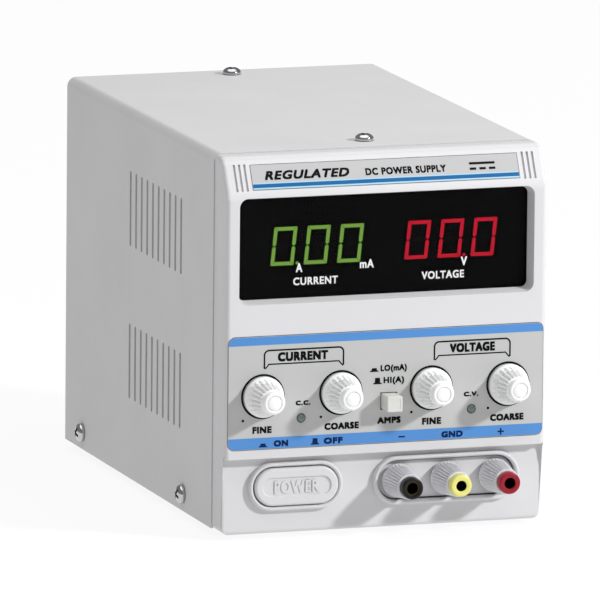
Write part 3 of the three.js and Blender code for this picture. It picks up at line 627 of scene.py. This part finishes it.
def bezel():
    w = BEZEL_HI.x - BEZEL_LO.x
    body = bezel_body()
    hollow = across(bezel_outline(SHELL, BEZEL_HI.z - SHELL, BEZEL_LO.z + SHELL), w - 2 * SHELL)
    combined(body, [hollow])
    collar = [rect(WINDOW_SIZE[0] + 5, WINDOW_SIZE[1] + 5, 3, y, 0, WINDOW.z)
              for y in (FRONT + 1, FRONT + WINDOW_DEPTH)]
    combined(body, [loft(collar)], "UNION")
    window = []
    for y in (FRONT - 1, FRONT + WINDOW_DEPTH + 1):
        grow = WINDOW_DRAFT * (FRONT + WINDOW_DEPTH + 1 - y) / (WINDOW_DEPTH + 2)
        window.append(rect(WINDOW_SIZE[0] + 2 * grow, WINDOW_SIZE[1] + 2 * grow, 2.2 + grow, y, 0,
                           WINDOW.z, 9))
    film = [rect(FILM_HI.x - FILM_LO.x + 0.6, FILM_HI.z - FILM_LO.z + 0.6, 2.8, y, 0, FILM_AT.z)
            for y in (FRONT - 2, FRONT + 0.6)]
    label = block(-52.25, 52.25, -2, 0.6, -5.05, 5.05)
    label.transform(HEADER_PLACE)
    cuts = [loft(window), loft(film), label]
    for side in (-1, 1):
        for i in range(3):
            groove = block(-0.42, 0.42, -2, 0.9, -5.3, 5.3)
            groove.transform(HEADER_PLACE @ Matrix.Translation((side * (54.2 + 2 * i), 0, 0)))
            cuts.append(groove)
    rims = [(name, size[0] + RIM_GAP, size[1] + RIM_GAP, at) for name, size, at in (
        ("power_rim", OVAL_POWER, POWER_AT), ("terminal_rim", OVAL_TERMINALS, PLATE_AT))]
    for _, w_hole, h_hole, at in rims:
        cuts.append(loft([oval(w_hole, h_hole, y, at.x, at.z) for y in (-30, 0)]))
    holes = [(knob_name + "_knob", 4.5, 32) for knob_name in KNOBS] + [(lamp, 1.8, 24) for lamp in LEDS]
    for node, r, n in holes:
        centre = middle(node)
        cuts.append(turned([(r, -30), (r, -11)], centre.x, centre.z, n))
    button = middle("range_button")
    cuts.append(block(button.x - 3.3, button.x + 3.3, -30, -11, button.z - 3.3, button.z + 3.3))
    combined(body, cuts)
    piece = keep(edged(body, 0.4, 3, 38), "bezel_shell", BEZEL, "root")
    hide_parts("front_bezel")
    for name, w_hole, h_hole, at in rims:
        keep(rim(w_hole, h_hole, at.x, at.z), name, BEZEL, "root", 60)


# ---- header, window and meters ----


def header():
    use(HEADER, "header_label")
    lift = HEADER_PLACE @ Matrix.Translation((0, -0.1 - INK / 2, 0))
    for name, low, high, mat in (("header_line", -4.2, -2.7, LINE_BLUE),
                                 ("header_margin_low", -4.75, -4.2, PALE_BLUE),
                                 ("header_margin_high", -2.7, -2.3, PALE_BLUE)):
        strip = block(-51.9, 51.9, -INK, INK, low, high)
        strip.transform(HEADER_PLACE @ Matrix.Translation((0, -0.1, 0)))
        keep(strip, name, mat, "root")
    lettering("header_title", "REGULATED", -30.5, 0.5, 3.5, 33, INK_BLACK, bold=0.2,
              slant=0.28, turn=lift)
    lettering("header_words", "DC POWER SUPPLY", 8, 0.2, 2.8, 31.5, INK_BLACK,
              turn=lift)
    # The usual sign for direct current: a line over three dashes.
    sign = [block(33, 43, -INK, INK, 1.1, 2.0)]
    for i in range(3):
        sign.append(block(33 + 3.75 * i, 35.5 + 3.75 * i, -INK, INK, -1.0, -0.1))
    sign = merged(*sign)
    sign.transform(lift)
    keep(sign, "header_dc_sign", INK_BLACK, "root")


SEGMENT = 1.35  # stroke of a digit's segments
DIGIT = (7.6, 13.05)
DIGIT_PITCH = 13.0
POINT_R = 0.6
DIGIT_SLANT = math.tan(math.radians(6))


def digit_bars():
    """The seven bars of a digit, mitred at its corners and pointed at its waist."""
    w, h = DIGIT
    half, gap = SEGMENT / 2, 0.1
    mid = h / 2
    flat = [(gap - half, h + half), (w + half - gap, h + half), (w - half - gap, h - half),
            (half + gap, h - half)]
    upright_bar = [(w + half, h + half - gap), (w + half, mid + half), (w, mid + gap),
                   (w - half, mid + half), (w - half, h - half - gap)]
    waist = [(gap, mid), (half, mid + half), (w - half, mid + half), (w - gap, mid),
             (w - half, mid - half), (half, mid - half)]

    def mirrored(points, across=False, over=False):
        return [(w - x if across else x, h - z if over else z) for x, z in points]

    return {
        "a": flat, "b": upright_bar, "c": mirrored(upright_bar, over=True),
        "d": mirrored(flat, over=True), "e": mirrored(upright_bar, True, True),
        "f": mirrored(upright_bar, True), "g": waist,
    }


def meter(node, lit, dark, point_after):
    """Three digits that read zero, with a decimal point, on a meter module's face."""
    low = span(node)[0]
    centre = middle(node)
    left = centre.x - DIGIT_PITCH - DIGIT[0] / 2 - DIGIT[1] * DIGIT_SLANT / 2
    base = centre.z - DIGIT[1] / 2
    on, off = [], []
    for place in range(3):
        for bar, outline in digit_bars().items():
            points = [(left + place * DIGIT_PITCH + px + pz * DIGIT_SLANT, base + pz)
                      for px, pz in outline]
            (off if bar == "g" else on).append(prism(points, low.y - 0.12, low.y + 0.1))
    for place in range(3):
        x = left + place * DIGIT_PITCH + DIGIT[0] + 2.1
        dot = turned([(POINT_R, low.y - 0.12), (POINT_R, low.y + 0.1)], x, base, 20)
        (on if place == point_after else off).append(dot)
    keep(merged(*on), node + "_digits", lit, "root")
    keep(merged(*off), node + "_unlit", dark, "root")
    use(MASK_BLACK, node)


def window():
    """The smoked pane, with white legends on its face and a black mask on its back."""
    use(SMOKED, "display_window")
    low, high = span("display_window")
    for name, words, x, z, cap, width in (
            ("window_current", "CURRENT", -26.15, 93.3, 2.9, 17.4),
            ("window_voltage", "VOLTAGE", 23.65, 93.2, 2.9, 16.6),
            ("window_amps", "A", -32.6, 98.4, 3.3, 2.5),
            ("window_milliamps", "mA", -6.15, 98.7, 3.2, 5.4),
            ("window_volts", "V", 31.9, 97.9, 3.3, 2.4)):
        lettering(name, words, x, z, cap, width, INK_WHITE, low.y - INK, 0.1, 0)
    back, margin = high.y, 0.5
    mask = scratch(block(low.x + margin, high.x - margin, back + 0.05, back + 0.2, low.z + margin,
                         high.z - margin))
    views = []
    for meter_name in ("current_display", "voltage_display"):
        lo, hi = span(meter_name)
        views.append(block(lo.x + 0.4, hi.x - 0.4, back - 1, back + 1, lo.z + 0.4, hi.z - 0.4))
    keep(applied(combined(mask, views)), "window_mask", MASK_BLACK, "root")


# ---- control panel ----

KNOBS = ("current_fine", "current_coarse", "voltage_fine", "voltage_coarse")
LEDS = ("constant_current_led", "constant_voltage_led")
RING_R = 8.1
RING_LINE = 0.75


def printed(shape, name, mat):
    return keep(shape, name, mat, "root")


def band(name, low, high, at_top):
    """A blue band along the film's upper or lower edge, rounded where the film is."""
    half_w, r = (FILM_HI.x - FILM_LO.x - 0.1) / 2, 2.4
    edge, inner, turn = (high - r, low, 90) if at_top else (low + r, high, -90)
    points = [(-half_w, inner)] + arc(r - half_w, edge, r, 180, 180 - turn)
    points += arc(half_w - r, edge, r, turn, 0) + [(half_w, inner)]
    printed(prism(points, FILM_LO.y - INK / 2, FILM_LO.y + 0.05), name, BAND_BLUE)


def line_path(points, width, y):
    """A printed line along (x, z) points, mitred at its bends."""
    points = [Vector(p) for p in points]
    left, right = [], []
    for i, p in enumerate(points):
        before = (p - points[i - 1]).normalized() if i else None
        after = (points[i + 1] - p).normalized() if i < len(points) - 1 else None
        if before is None or after is None:
            along = after or before
            side = Vector((-along.y, along.x)) * width / 2
        else:
            normal = (Vector((-before.y, before.x)) + Vector((-after.y, after.x))).normalized()
            side = normal * width / 2 / max(normal.dot(Vector((-after.y, after.x))), 0.5)
        left.append(p + side)
        right.append(p - side)
    bm = bmesh.new()
    rows = []
    for level in (y - INK, y + 0.05):
        rows.append([[bm.verts.new((p.x, level, p.y)) for p in row] for row in (left, right)])
    for i in range(len(points) - 1):
        for (l, r), flip in ((rows[0], False), (rows[1], True)):
            quad = [l[i], l[i + 1], r[i + 1], r[i]]
            bm.faces.new(reversed(quad) if flip else quad)
        for k in (0, 1):
            a, b = rows[0][k], rows[1][k]
            bm.faces.new((a[i], b[i], b[i + 1], a[i + 1]))
    for i in (0, len(points) - 1):
        bm.faces.new((rows[0][0][i], rows[0][1][i], rows[1][1][i], rows[1][0][i]))
    return bm


def bracket(name, left, right, top, low, leg):
    """The frame round a group's title: a box, rounded on top, whose lower line turns down."""
    r, n = 1.8, 6
    over = [(left, leg)] + arc(left + r, top - r, r, 180, 90, n)
    over += arc(right - r, top - r, r, 90, 0, n) + [(right, leg)]
    x, hook_r = left + 0.1, 1.6
    hook = [(x, leg)]
    for i in range(n + 1):
        s = math.sin(math.pi / 2 * i / n)
        hook.append((x + hook_r * s, low - hook_r + hook_r * s ** 1.5))
    under = hook + [(left + right - x, z) for x, z in reversed(hook)]
    face = FILM_LO.y
    printed(merged(line_path(over, 0.6, face), line_path(under, 0.5, face + 0.02)), name, INK_BLACK)


def push_icon(name, x, z, pressed, mat):
    """A push-button sign: a base line with a tall or a low block on it."""
    y0, y1 = FILM_LO.y - INK, FILM_LO.y + 0.05
    tall = 0.9 if pressed else 1.9
    shape = merged(
        block(x - 1.6, x + 1.6, y0, y1, z - 1.1, z - 0.6),
        prism([(x - 1.1, z - 0.62), (x - 0.9, z - 0.6 + tall), (x + 0.9, z - 0.6 + tall),
               (x + 1.1, z - 0.62)], y0, y1))
    printed(shape, name, mat)


def panel_prints():
    face = FILM_LO.y - INK / 2
    band("band_top", 71.0, FILM_HI.z - 0.1, True)
    band("band_bottom", FILM_LO.z + 0.1, 36.2, False)
    bracket("current_bracket", -47.6, -16.8, 68.9, 63.7, 62.1)
    bracket("voltage_bracket", 18.8, 48.5, 68.9, 63.7, 62.1)
    for name, words, x, z, cap, width, bold in (
            ("title_current", "CURRENT", -32.6, 66.3, 3.5, 19.6, 0.25),
            ("title_voltage", "VOLTAGE", 33.7, 66.3, 3.5, 17.8, 0.25),
            ("label_fine_current", "FINE", -48.3, 39.15, 2.6, 7.5, 0.2),
            ("label_coarse_current", "COARSE", -17.25, 39.15, 2.6, 13.5, 0.2),
            ("label_fine_voltage", "FINE", 18.0, 39.15, 2.6, 7.5, 0.2),
            ("label_coarse_voltage", "COARSE", 47.6, 39.15, 2.6, 13.2, 0.2),
            ("label_range", "AMPS", 1.25, 40.35, 2.5, 9.2, 0.2),
            ("label_low_range", "LO(mA)", 2.9, 60.1, 2.4, 10.3, 0.15),
            ("label_high_range", "HI(A)", 3.0, 55.5, 2.4, 8.1, 0.15),
            ("label_cc", "C.C.", -32.4, 48.6, 1.8, 5.8, 0.16),
            ("label_cv", "C.V.", 33.4, 48.6, 1.8, 5.8, 0.16)):
        lettering(name, words, x, z, cap, width, INK_BLACK, face, bold)
    navy = FILM_LO.y - INK
    for name, words, x, z, cap, width in (
            ("label_on", "ON", -40.9, 33.8, 2.4, 5.6), ("label_off", "OFF", -20.5, 33.8, 2.4, 7.4),
            ("label_ground", "GND", 26.1, 33.8, 2.4, 8.4)):
        lettering(name, words, x, z, cap, width, INK_NAVY, navy, 0.2)
    y0, y1 = navy - INK / 2, FILM_LO.y
    level, thick, reach = 33.8, 0.28, 1.25
    minus = block(6.3 - reach, 6.3 + reach, y0, y1, level - thick, level + thick)
    printed(minus, "label_minus", INK_NAVY)
    arm = [(-thick, -reach), (thick, -reach), (thick, -thick)]
    plus = []
    for _ in range(4):
        plus += [(45.25 + x, level + z) for x, z in arm]
        arm = [(-z, x) for x, z in arm]
    printed(prism(plus, y0, y1), "label_plus", INK_NAVY)
    push_icon("icon_low_range", -4.7, 59.9, True, INK_BLACK)
    push_icon("icon_high_range", -3.4, 55.2, False, INK_BLACK)
    push_icon("icon_on", -47.9, 33.7, True, INK_NAVY)
    push_icon("icon_off", -27.6, 33.7, False, INK_NAVY)
    for knob_name in KNOBS:
        centre = middle(knob_name + "_knob")
        outer, inner = RING_R + RING_LINE / 2, RING_R - RING_LINE / 2
        front, back = face - INK / 2, face + 0.1
        ring = turned([(outer, front), (inner, front), (inner, back), (outer, back)], centre.x,
                      centre.z, 72, loop=True)
        printed(ring, knob_name + "_ring", INK_BLACK)
        dot = turned([(0.5, front), (0.5, back)], centre.x - 7.7, centre.z - 8.8, 16)
        printed(dot, knob_name + "_dot", INK_BLACK)
    use(FILM, "control_overlay")


def knob(name):
    """A fluted cone on a plain skirt, with a smooth nose and a raised disc on its face."""
    high = span(name + "_knob")[1]
    x, _, z = middle(name + "_knob")
    base = high.y
    flutes, n = 22, 264
    inside = [(2.9, 5), (6.4, 4.5), (6.6, 0)]
    skirt = [(7.45, 0), (7.65, 0.25), (7.7, 1.2), (7.5, 1.7), (7.15, 2.0)]
    rings = [circle(r, base - up, x, z, n) for r, up in inside + skirt]
    steps = 10
    for i in range(steps + 1):
        t = i / steps
        depth = 0.95 * min(t * 5, 1, (1 - t) * 8 + 0.35)
        r = 7.1 + (4.95 - 7.1) * t
        rings.append(circle(r, base - 2.1 - 8.9 * t, x, z, n, flutes, depth))
    nose = [(4.3, 11.15), (4.15, 11.4), (4.1, 13.3), (4.0, 13.6), (3.75, 13.82), (3.45, 13.88),
            (3.0, 13.84), (2.85, 13.4), (2.65, 13.4), (2.5, 13.8), (2.3, 13.9), (0.3, 13.9)]
    rings += [circle(r, base - up, x, z, n) for r, up in nose]
    piece = keep(loft(rings), name + "_grip", KNOB, name + "_control", 42)
    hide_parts(name + "_knob")
    use(ALUMINIUM, name + "_shaft")


def led(node):
    low, high = span(node)
    centre = middle(node)
    r, shoulder = 1.5, low.y + 1.2
    profile = [(r, high.y), (r, shoulder)] + dome(r, shoulder, 1.15)
    lens = keep(turned(profile, centre.x, centre.z, 40), node + "_lens", LENS, "root")
    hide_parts(node)


def range_button():
    low, high = span("range_button")
    x, _, z = middle("range_button")
    side = high.x - low.x
    cap = scratch(soft_plate(rect, side, side, low.y, -13.2, 0.3, 0.5, x, z))
    dish = loft([rect(side - 1.5, side - 1.5, 0.5, low.y - 0.5, x, z),
                 rect(side - 1.9, side - 1.9, 0.5, low.y + 0.12, x, z)])
    combined(cap, [dish])
    stem = block(x - 1.5, x + 1.5, -13.3, high.y, z - 1.5, z + 1.5)
    combined(cap, [stem], "UNION")
    piece = keep(edged(cap, 0.12, 2), "range_button_cap", BUTTON, "range_push")
    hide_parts("range_button")


def power_button():
    low, high = span("power_button")
    x, z, face = POWER_AT.x, POWER_AT.z, low.y
    cap = scratch(soft_plate(oval, *OVAL_POWER, face, -4.6, 1.1, x, z))
    field = [oval(27.1, 7.4, face - 1, x, z), oval(27.1, 7.4, face + 0.02, x, z),
             oval(26.3, 6.6, face + 0.6, x, z)]
    combined(cap, [loft(field)])
    stem = block(x - 3, x + 3, -4.8, high.y, z - 3, z + 3)
    combined(cap, [stem], "UNION")
    piece = keep(edged(cap, 0.2, 3), "power_button_cap", BEZEL, "power_push")
    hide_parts("power_button")
    lettering("power_button_word", "POWER", x, z, 4.7, 17.6, BEZEL, face + 0.5, 0.16,
              rise=0.4, body="power_push")


# ---- terminals ----

TIPS = {"negative": TIP_BLACK, "ground": TIP_YELLOW, "positive": TIP_RED}
TIP_BORES = {"negative": 2.7, "ground": 2.0, "positive": 2.1}


def terminal_plate():
    x, z = PLATE_AT.x, PLATE_AT.z
    plate = scratch(soft_plate(oval, *OVAL_TERMINALS, PLATE_LO.y + 0.1, PLATE_HI.y, 0.5, x, z))
    holes = [turned([(3.3, -30), (3.3, 10)], at.x, at.z, 32) for at in POSTS.values()]
    combined(plate, holes)
    piece = keep(edged(plate, 0.15, 2), "terminal_panel", BEZEL, "root")
    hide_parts("terminal_plate")


def post(name):
    """A stud with its 4 mm socket, a washer, and a knurled nut with an insulating tip."""
    low, high = span(name + "_nut")
    at = POSTS[name]
    base, tip, bore, n = high.y, low.y, 3.25, 300
    shoulder = tip + 3.6
    flange = [(bore, base), (6.1, base), (6.35, base - 0.25), (6.35, base - 0.7)]
    rings = [circle(r, y, at.x, at.z, n) for r, y in flange]
    steps = 8
    for i in range(steps + 1):
        t = i / steps
        depth = 0.75 * min(t * 8, 1, (1 - t) * 8)
        r = 6.3 + (4.75 - 6.3) * t
        y = base - 0.9 + (shoulder + 0.15 - base + 0.9) * t
        rings.append(circle(r, y, at.x, at.z, n, 30, depth))
    rings += [circle(r, shoulder, at.x, at.z, n) for r in (4.6, bore)]
    body = name + "_thumb"
    nut = keep(loft(rings, loop=True), name + "_nut_grip", POST_GREY, body, 42)
    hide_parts(name + "_nut")

    gap, mouth = 0.02, TIP_BORES[name]
    profile = [(bore, shoulder - gap), (4.0, shoulder - gap), (4.12, shoulder - 0.25),
               (4.14, tip + 0.7), (4.05, tip + 0.3), (3.85, tip + 0.06), (3.6, tip),
               (mouth + 0.45, tip), (mouth + 0.1, tip + 0.12), (mouth, tip + 0.4),
               (mouth + 0.05, tip + 0.46), (bore, tip + 0.47)]
    keep(turned(profile, at.x, at.z, 64, loop=True), name + "_nut_tip", TIPS[name], body,
         40)

    s_low, s_high = span(name + "_stud")
    front, back = s_low.y, s_high.y
    # The stud takes the darkened brass, whose painted shade stands for the dark inside its socket.
    profile = [(2.0, front + 14.4), (2.0, front + 0.35), (2.25, front), (2.75, front),
               (3.0, front + 0.25), (3.0, -5.7), (4.9, -5.7), (4.9, -2.7), (3.0, -2.7),
               (3.0, back - 0.4), (2.7, back), (0.3, back), (0.3, front + 14.4)]
    stud = keep(turned(profile, at.x, at.z, 48, loop=True), name + "_stud_turned", SOCKET_BRASS_PAINTED_SHADE,
                "root", 35)
    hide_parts(name + "_stud")
    use(BRASS, name + "_washer")


# ---- rear ----

PANEL_LO, PANEL_HI = span("rear_panel")
PANEL_OUT = PANEL_HI.y
PANEL_IN = PANEL_OUT - 1.2
FAN_AT = middle("fan_frame")
INLET_AT = middle("mains_inlet")
FUSE_AT = middle("fuse_cap")
SELECTOR_AT = middle("voltage_selector")


def grille_slot(inner, outer, start, end):
    """A slot along a part of a ring, between two angles in degrees."""
    points = arc(FAN_AT.x, FAN_AT.z, outer, start, end, 14)
    points += arc(FAN_AT.x, FAN_AT.z, inner, end, start, 14)
    return prism(points, PANEL_IN - 2, PANEL_OUT + 2)


def rear_panel():
    """A pressed panel with a fan grille, and holes for what is mounted on it."""
    w, h = PANEL_HI.x - PANEL_LO.x, PANEL_HI.z - PANEL_LO.z
    mid = (PANEL_HI.z + PANEL_LO.z) / 2
    panel = scratch(loft([rect(w, h, 4, y, 0, mid, 9) for y in (PANEL_IN, PANEL_OUT)]))
    flange = block(-52, 52, PANEL_IN - 14, PANEL_OUT - 0.5, PANEL_HI.z - 1.2, PANEL_HI.z)
    combined(panel, [flange], "UNION")
    slots = []
    for r in (13, 21, 29):
        for quarter in range(4):
            start = 45 - 90 * quarter
            trim = math.degrees(2.0 / r)  # leaves a 4 mm spoke between slots, at their inner edge
            slots.append(grille_slot(r, r + 5, start - trim, start - 90 + trim))
    hole = turned([(CLEARANCE_R, -20), (CLEARANCE_R, 20)], 0, 0, 24)
    upright(hole, 0, middle("top_screw_rear").y, PANEL_HI.z)
    cuts = [merged(*slots), hole,
            block(INLET_AT.x - 14, INLET_AT.x + 14, 170, 190, INLET_AT.z - 10, INLET_AT.z + 10),
            turned([(6.5, 170), (6.5, 190)], FUSE_AT.x, FUSE_AT.z, 40),
            block(SELECTOR_AT.x - 10, SELECTOR_AT.x + 10, 170, 190, SELECTOR_AT.z - 5,
                  SELECTOR_AT.z + 5)]
    combined(panel, cuts)
    piece = keep(edged(panel, 0.18, 2), "rear_panel_sheet", COVER_PAINT, "root")
    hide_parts("rear_panel")


def mirrored_plate(ring, w, h, y_back, y_front, edge, *args):
    """A soft plate whose rounded edge faces the rear."""
    plate = soft_plate(ring, w, h, -y_back, -y_front, edge, *args)
    plate.transform(Matrix.Diagonal((1, -1, 1, 1)))
    return plate


def mains_inlet():
    """An inlet for a detachable cord, with its three blades."""
    low, high = span("mains_inlet")
    x, z, face = INLET_AT.x, INLET_AT.z, high.y
    flange = scratch(mirrored_plate(rect, 50, 24, face, face - 2.6, 0.7, 5, x, z))
    combined(flange, [block(x - 13.6, x + 13.6, low.y, face - 1, z - 9.6, z + 9.6)], "UNION")
    half_w, half_h, chamfer = 12.2, 8.2, 5
    outline = [(x - half_w, z - half_h), (x + half_w, z - half_h), (x + half_w, z + half_h - chamfer),
               (x + half_w - chamfer, z + half_h), (x - half_w + chamfer, z + half_h),
               (x - half_w, z + half_h - chamfer)]
    combined(flange, [prism(outline, face - 16.4, face + 3)])
    shroud = keep(edged(flange, 0.3, 3), "mains_inlet_shroud", BLACK, "root")
    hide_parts("mains_inlet")
    blades = [block(x + dx - 1, x + dx + 1, face - 16.6, face - 3.2, z + dz - 2, z + dz + 2)
              for dx, dz in ((-7, -1.6), (0, 2.4), (7, -1.6))]
    keep(edged(scratch(merged(*blades)), 0.35, 2), "mains_inlet_blades", BRASS, "root")


def fuse_holder():
    low, high = span("fuse_holder")
    x, z, mouth = FUSE_AT.x, FUSE_AT.z, high.y
    profile = [(4.6, mouth - 27.9), (4.6, mouth - 0.3), (4.9, mouth), (7.7, mouth), (8.15, mouth - 0.4),
               (8.2, mouth - 2), (6.2, mouth - 2), (6.2, low.y), (0.3, low.y), (0.3, mouth - 27.9)]
    holder = keep(turned(profile, x, z, 56, loop=True), "fuse_holder_barrel", BLACK, "root",
                  35)
    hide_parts("fuse_holder")


def fuse_cap():
    """The bayonet cap: a round head with a finger grip across it, and the carrier behind it."""
    low, high = span("fuse_cap")
    x, z, back = FUSE_AT.x, FUSE_AT.z, high.y
    mouth = back - 7.5
    head = scratch(turned([(2.9, low.y), (4.3, low.y), (4.3, mouth + 0.3), (6.2, mouth + 0.3),
                           (6.4, mouth + 0.5), (6.4, mouth + 3.3), (5.8, mouth + 3.95),
                           (0.3, mouth + 4), (0.3, mouth - 5.2), (2.9, mouth - 5.2)], x, z, 56, True))
    grip = block(x - 5.2, x + 5.2, mouth + 3, back, z - 1.6, z + 1.6)
    combined(head, [grip], "UNION")
    cap = keep(edged(head, 0.35, 3), "fuse_cap_grip", BLACK, "fuse_top")
    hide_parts("fuse_cap")


def voltage_selector():
    """A slide switch with the two mains voltages printed on its flange."""
    low, high = span("voltage_selector")
    x, z, face = SELECTOR_AT.x, SELECTOR_AT.z, high.y
    w, h = high.x - low.x, high.z - low.z
    flange = scratch(mirrored_plate(rect, w, h, face, face - 1.6, 0.35, 1.5, x, z))
    body = block(x - 9.6, x + 9.6, low.y, face - 0.9, z - 4.6, z + 4.6)
    combined(flange, [body], "UNION")
    combined(flange, [block(x - 6, x + 6, face - 6.9, face + 2, z - 2.8, z + 2.8)])
    piece = keep(edged(flange, 0.2, 2), "voltage_selector_body", BLACK, "root")
    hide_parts("voltage_selector")
    facing_rear = Matrix.Translation((x, face, z)) @ Matrix.Rotation(math.pi, 4, "Z")
    for name, words, dx in (("selector_high", "230V", -5.4), ("selector_low", "115V", 5.4)):
        lettering(name, words, dx, 4.6, 1.8, 6.2, INK_WHITE, bold=0.08,
                  turn=facing_rear)


def selector_slider():
    low, high = span("selector_slider")
    x, _, z = middle("selector_slider")
    tab = scratch(block(low.x, high.x, high.y - 2.6, high.y, low.z, high.z))
    groove = block(x - 0.5, x + 0.5, high.y - 1, high.y + 1, z - 1.7, z + 1.7)
    combined(tab, [groove])
    combined(tab, [block(low.x, high.x, low.y, high.y - 2.1, z - 1.5, z + 1.5)], "UNION")
    piece = keep(edged(tab, 0.25, 2), "selector_tab", TIP_RED, "selector")
    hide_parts("selector_slider")


def carried_over():
    use(ZINC, "bottom_chassis", *(k + "_pot" for k in KNOBS))
    use(MASK_BLACK, "display_board")
    use(BOARD, "main_board")
    use(BLACK, "range_switch", "power_switch", "fan_frame", "fan_rotor")
    use(IRON, "transformer_core")
    use(TAPE, "transformer_coil")
    use(ALUMINIUM, "heat_sink")
    use(GLASS, "fuse")


# ---- stage, camera and light ----


def look_from(azimuth, elevation, roll, distance, target):
    a, e = math.radians(azimuth), math.radians(elevation)
    back = Vector((math.sin(a) * math.cos(e), -math.cos(a) * math.cos(e), math.sin(e)))
    turn = (-back).to_track_quat("-Z", "Y").to_matrix().to_4x4()
    return (Matrix.Translation(target + back * distance) @ turn
            @ Matrix.Rotation(math.radians(roll), 4, "Z"))


def camera():
    data = bpy.data.cameras.new("camera")
    data.sensor_width = 36
    data.lens = 729
    data.clip_start = 0.1
    data.clip_end = 100
    obj = linked("camera", data)
    target = CASE + Vector((-29.1, 0, 84.5)) * MM
    obj.matrix_world = look_from(-18.5, 10.3, 0.55, 4.503, target)
    bpy.context.scene.camera = obj


def sun(name, azimuth, elevation, strength, softness):
    data = bpy.data.lights.new(name, "SUN")
    data.energy = strength
    data.angle = math.radians(softness)
    linked(name, data).matrix_world = look_from(azimuth, elevation, 0, 2, CASE)


def key_light(azimuth, elevation, distance, size, power):
    """A small soft light near the object, so that the front fades a little towards its far side."""
    data = bpy.data.lights.new("key", "AREA")
    data.shape = "DISK"
    data.size = size
    data.energy = power
    target = CASE + Vector((0, FRONT, 70)) * MM
    linked("key", data).matrix_world = look_from(azimuth, elevation, 0, distance, target)


WORLD_LIGHT = 0.25
FLOOR_GLOW = 0.875


def light_table():
    """A floor that glows, so that what stands on it casts only a pale shadow."""
    return surface("floor_paper", (92, 92, 92), 0.9, mottle=0.004, grain=300, height=0.01,
                   specular=0.1, emission=(srgb(255, 255, 255), FLOOR_GLOW))


def stage():
    bm = bmesh.new()
    half = 6.0
    floor_z = cad_box[0][2]
    corners = [(-half, -half), (half, -half), (half, half), (-half, half)]
    bm.faces.new([bm.verts.new((x, y, floor_z)) for x, y in corners])
    mesh = bpy.data.meshes.new("floor")
    bm.to_mesh(mesh)
    bm.free()
    floor = linked("floor", mesh)
    mesh.materials.append(light_table())
    world = bpy.data.worlds.new("studio")
    world.use_nodes = True
    sky = world.node_tree.nodes["Background"]
    sky.inputs["Color"].default_value = (1, 1, 1, 1)
    sky.inputs["Strength"].default_value = WORLD_LIGHT
    bpy.context.scene.world = world
    bpy.context.scene.view_settings.view_transform = "Standard"
    key_light(49, 28.7, 1.7, 0.16, 24.5)
    sun("overhead", 0, 88, 1.7, 70)


# ---- assembly ----

camera()
stage()
cover()
for end in ("front", "rear"):
    dome_screw("top_screw_head_" + end, "top_screw_" + end, "top")
    for hand in ("left", "right"):
        dome_screw(hand + "_screw_head_" + end, hand + "_screw_" + end, hand)
for place in ("front_left", "front_right", "rear_left", "rear_right"):
    foot(place + "_foot_pad", place + "_foot")
bezel()
header()
window()
meter("current_display", GREEN_LIT, GREEN_DARK, 0)
meter("voltage_display", RED_LIT, RED_DARK, 1)
panel_prints()
for control in KNOBS:
    knob(control)
for lamp in LEDS:
    led(lamp)
range_button()
power_button()
terminal_plate()
for terminal in POSTS:
    post(terminal)
rear_panel()
mains_inlet()
fuse_holder()
fuse_cap()
voltage_selector()
selector_slider()
carried_over()
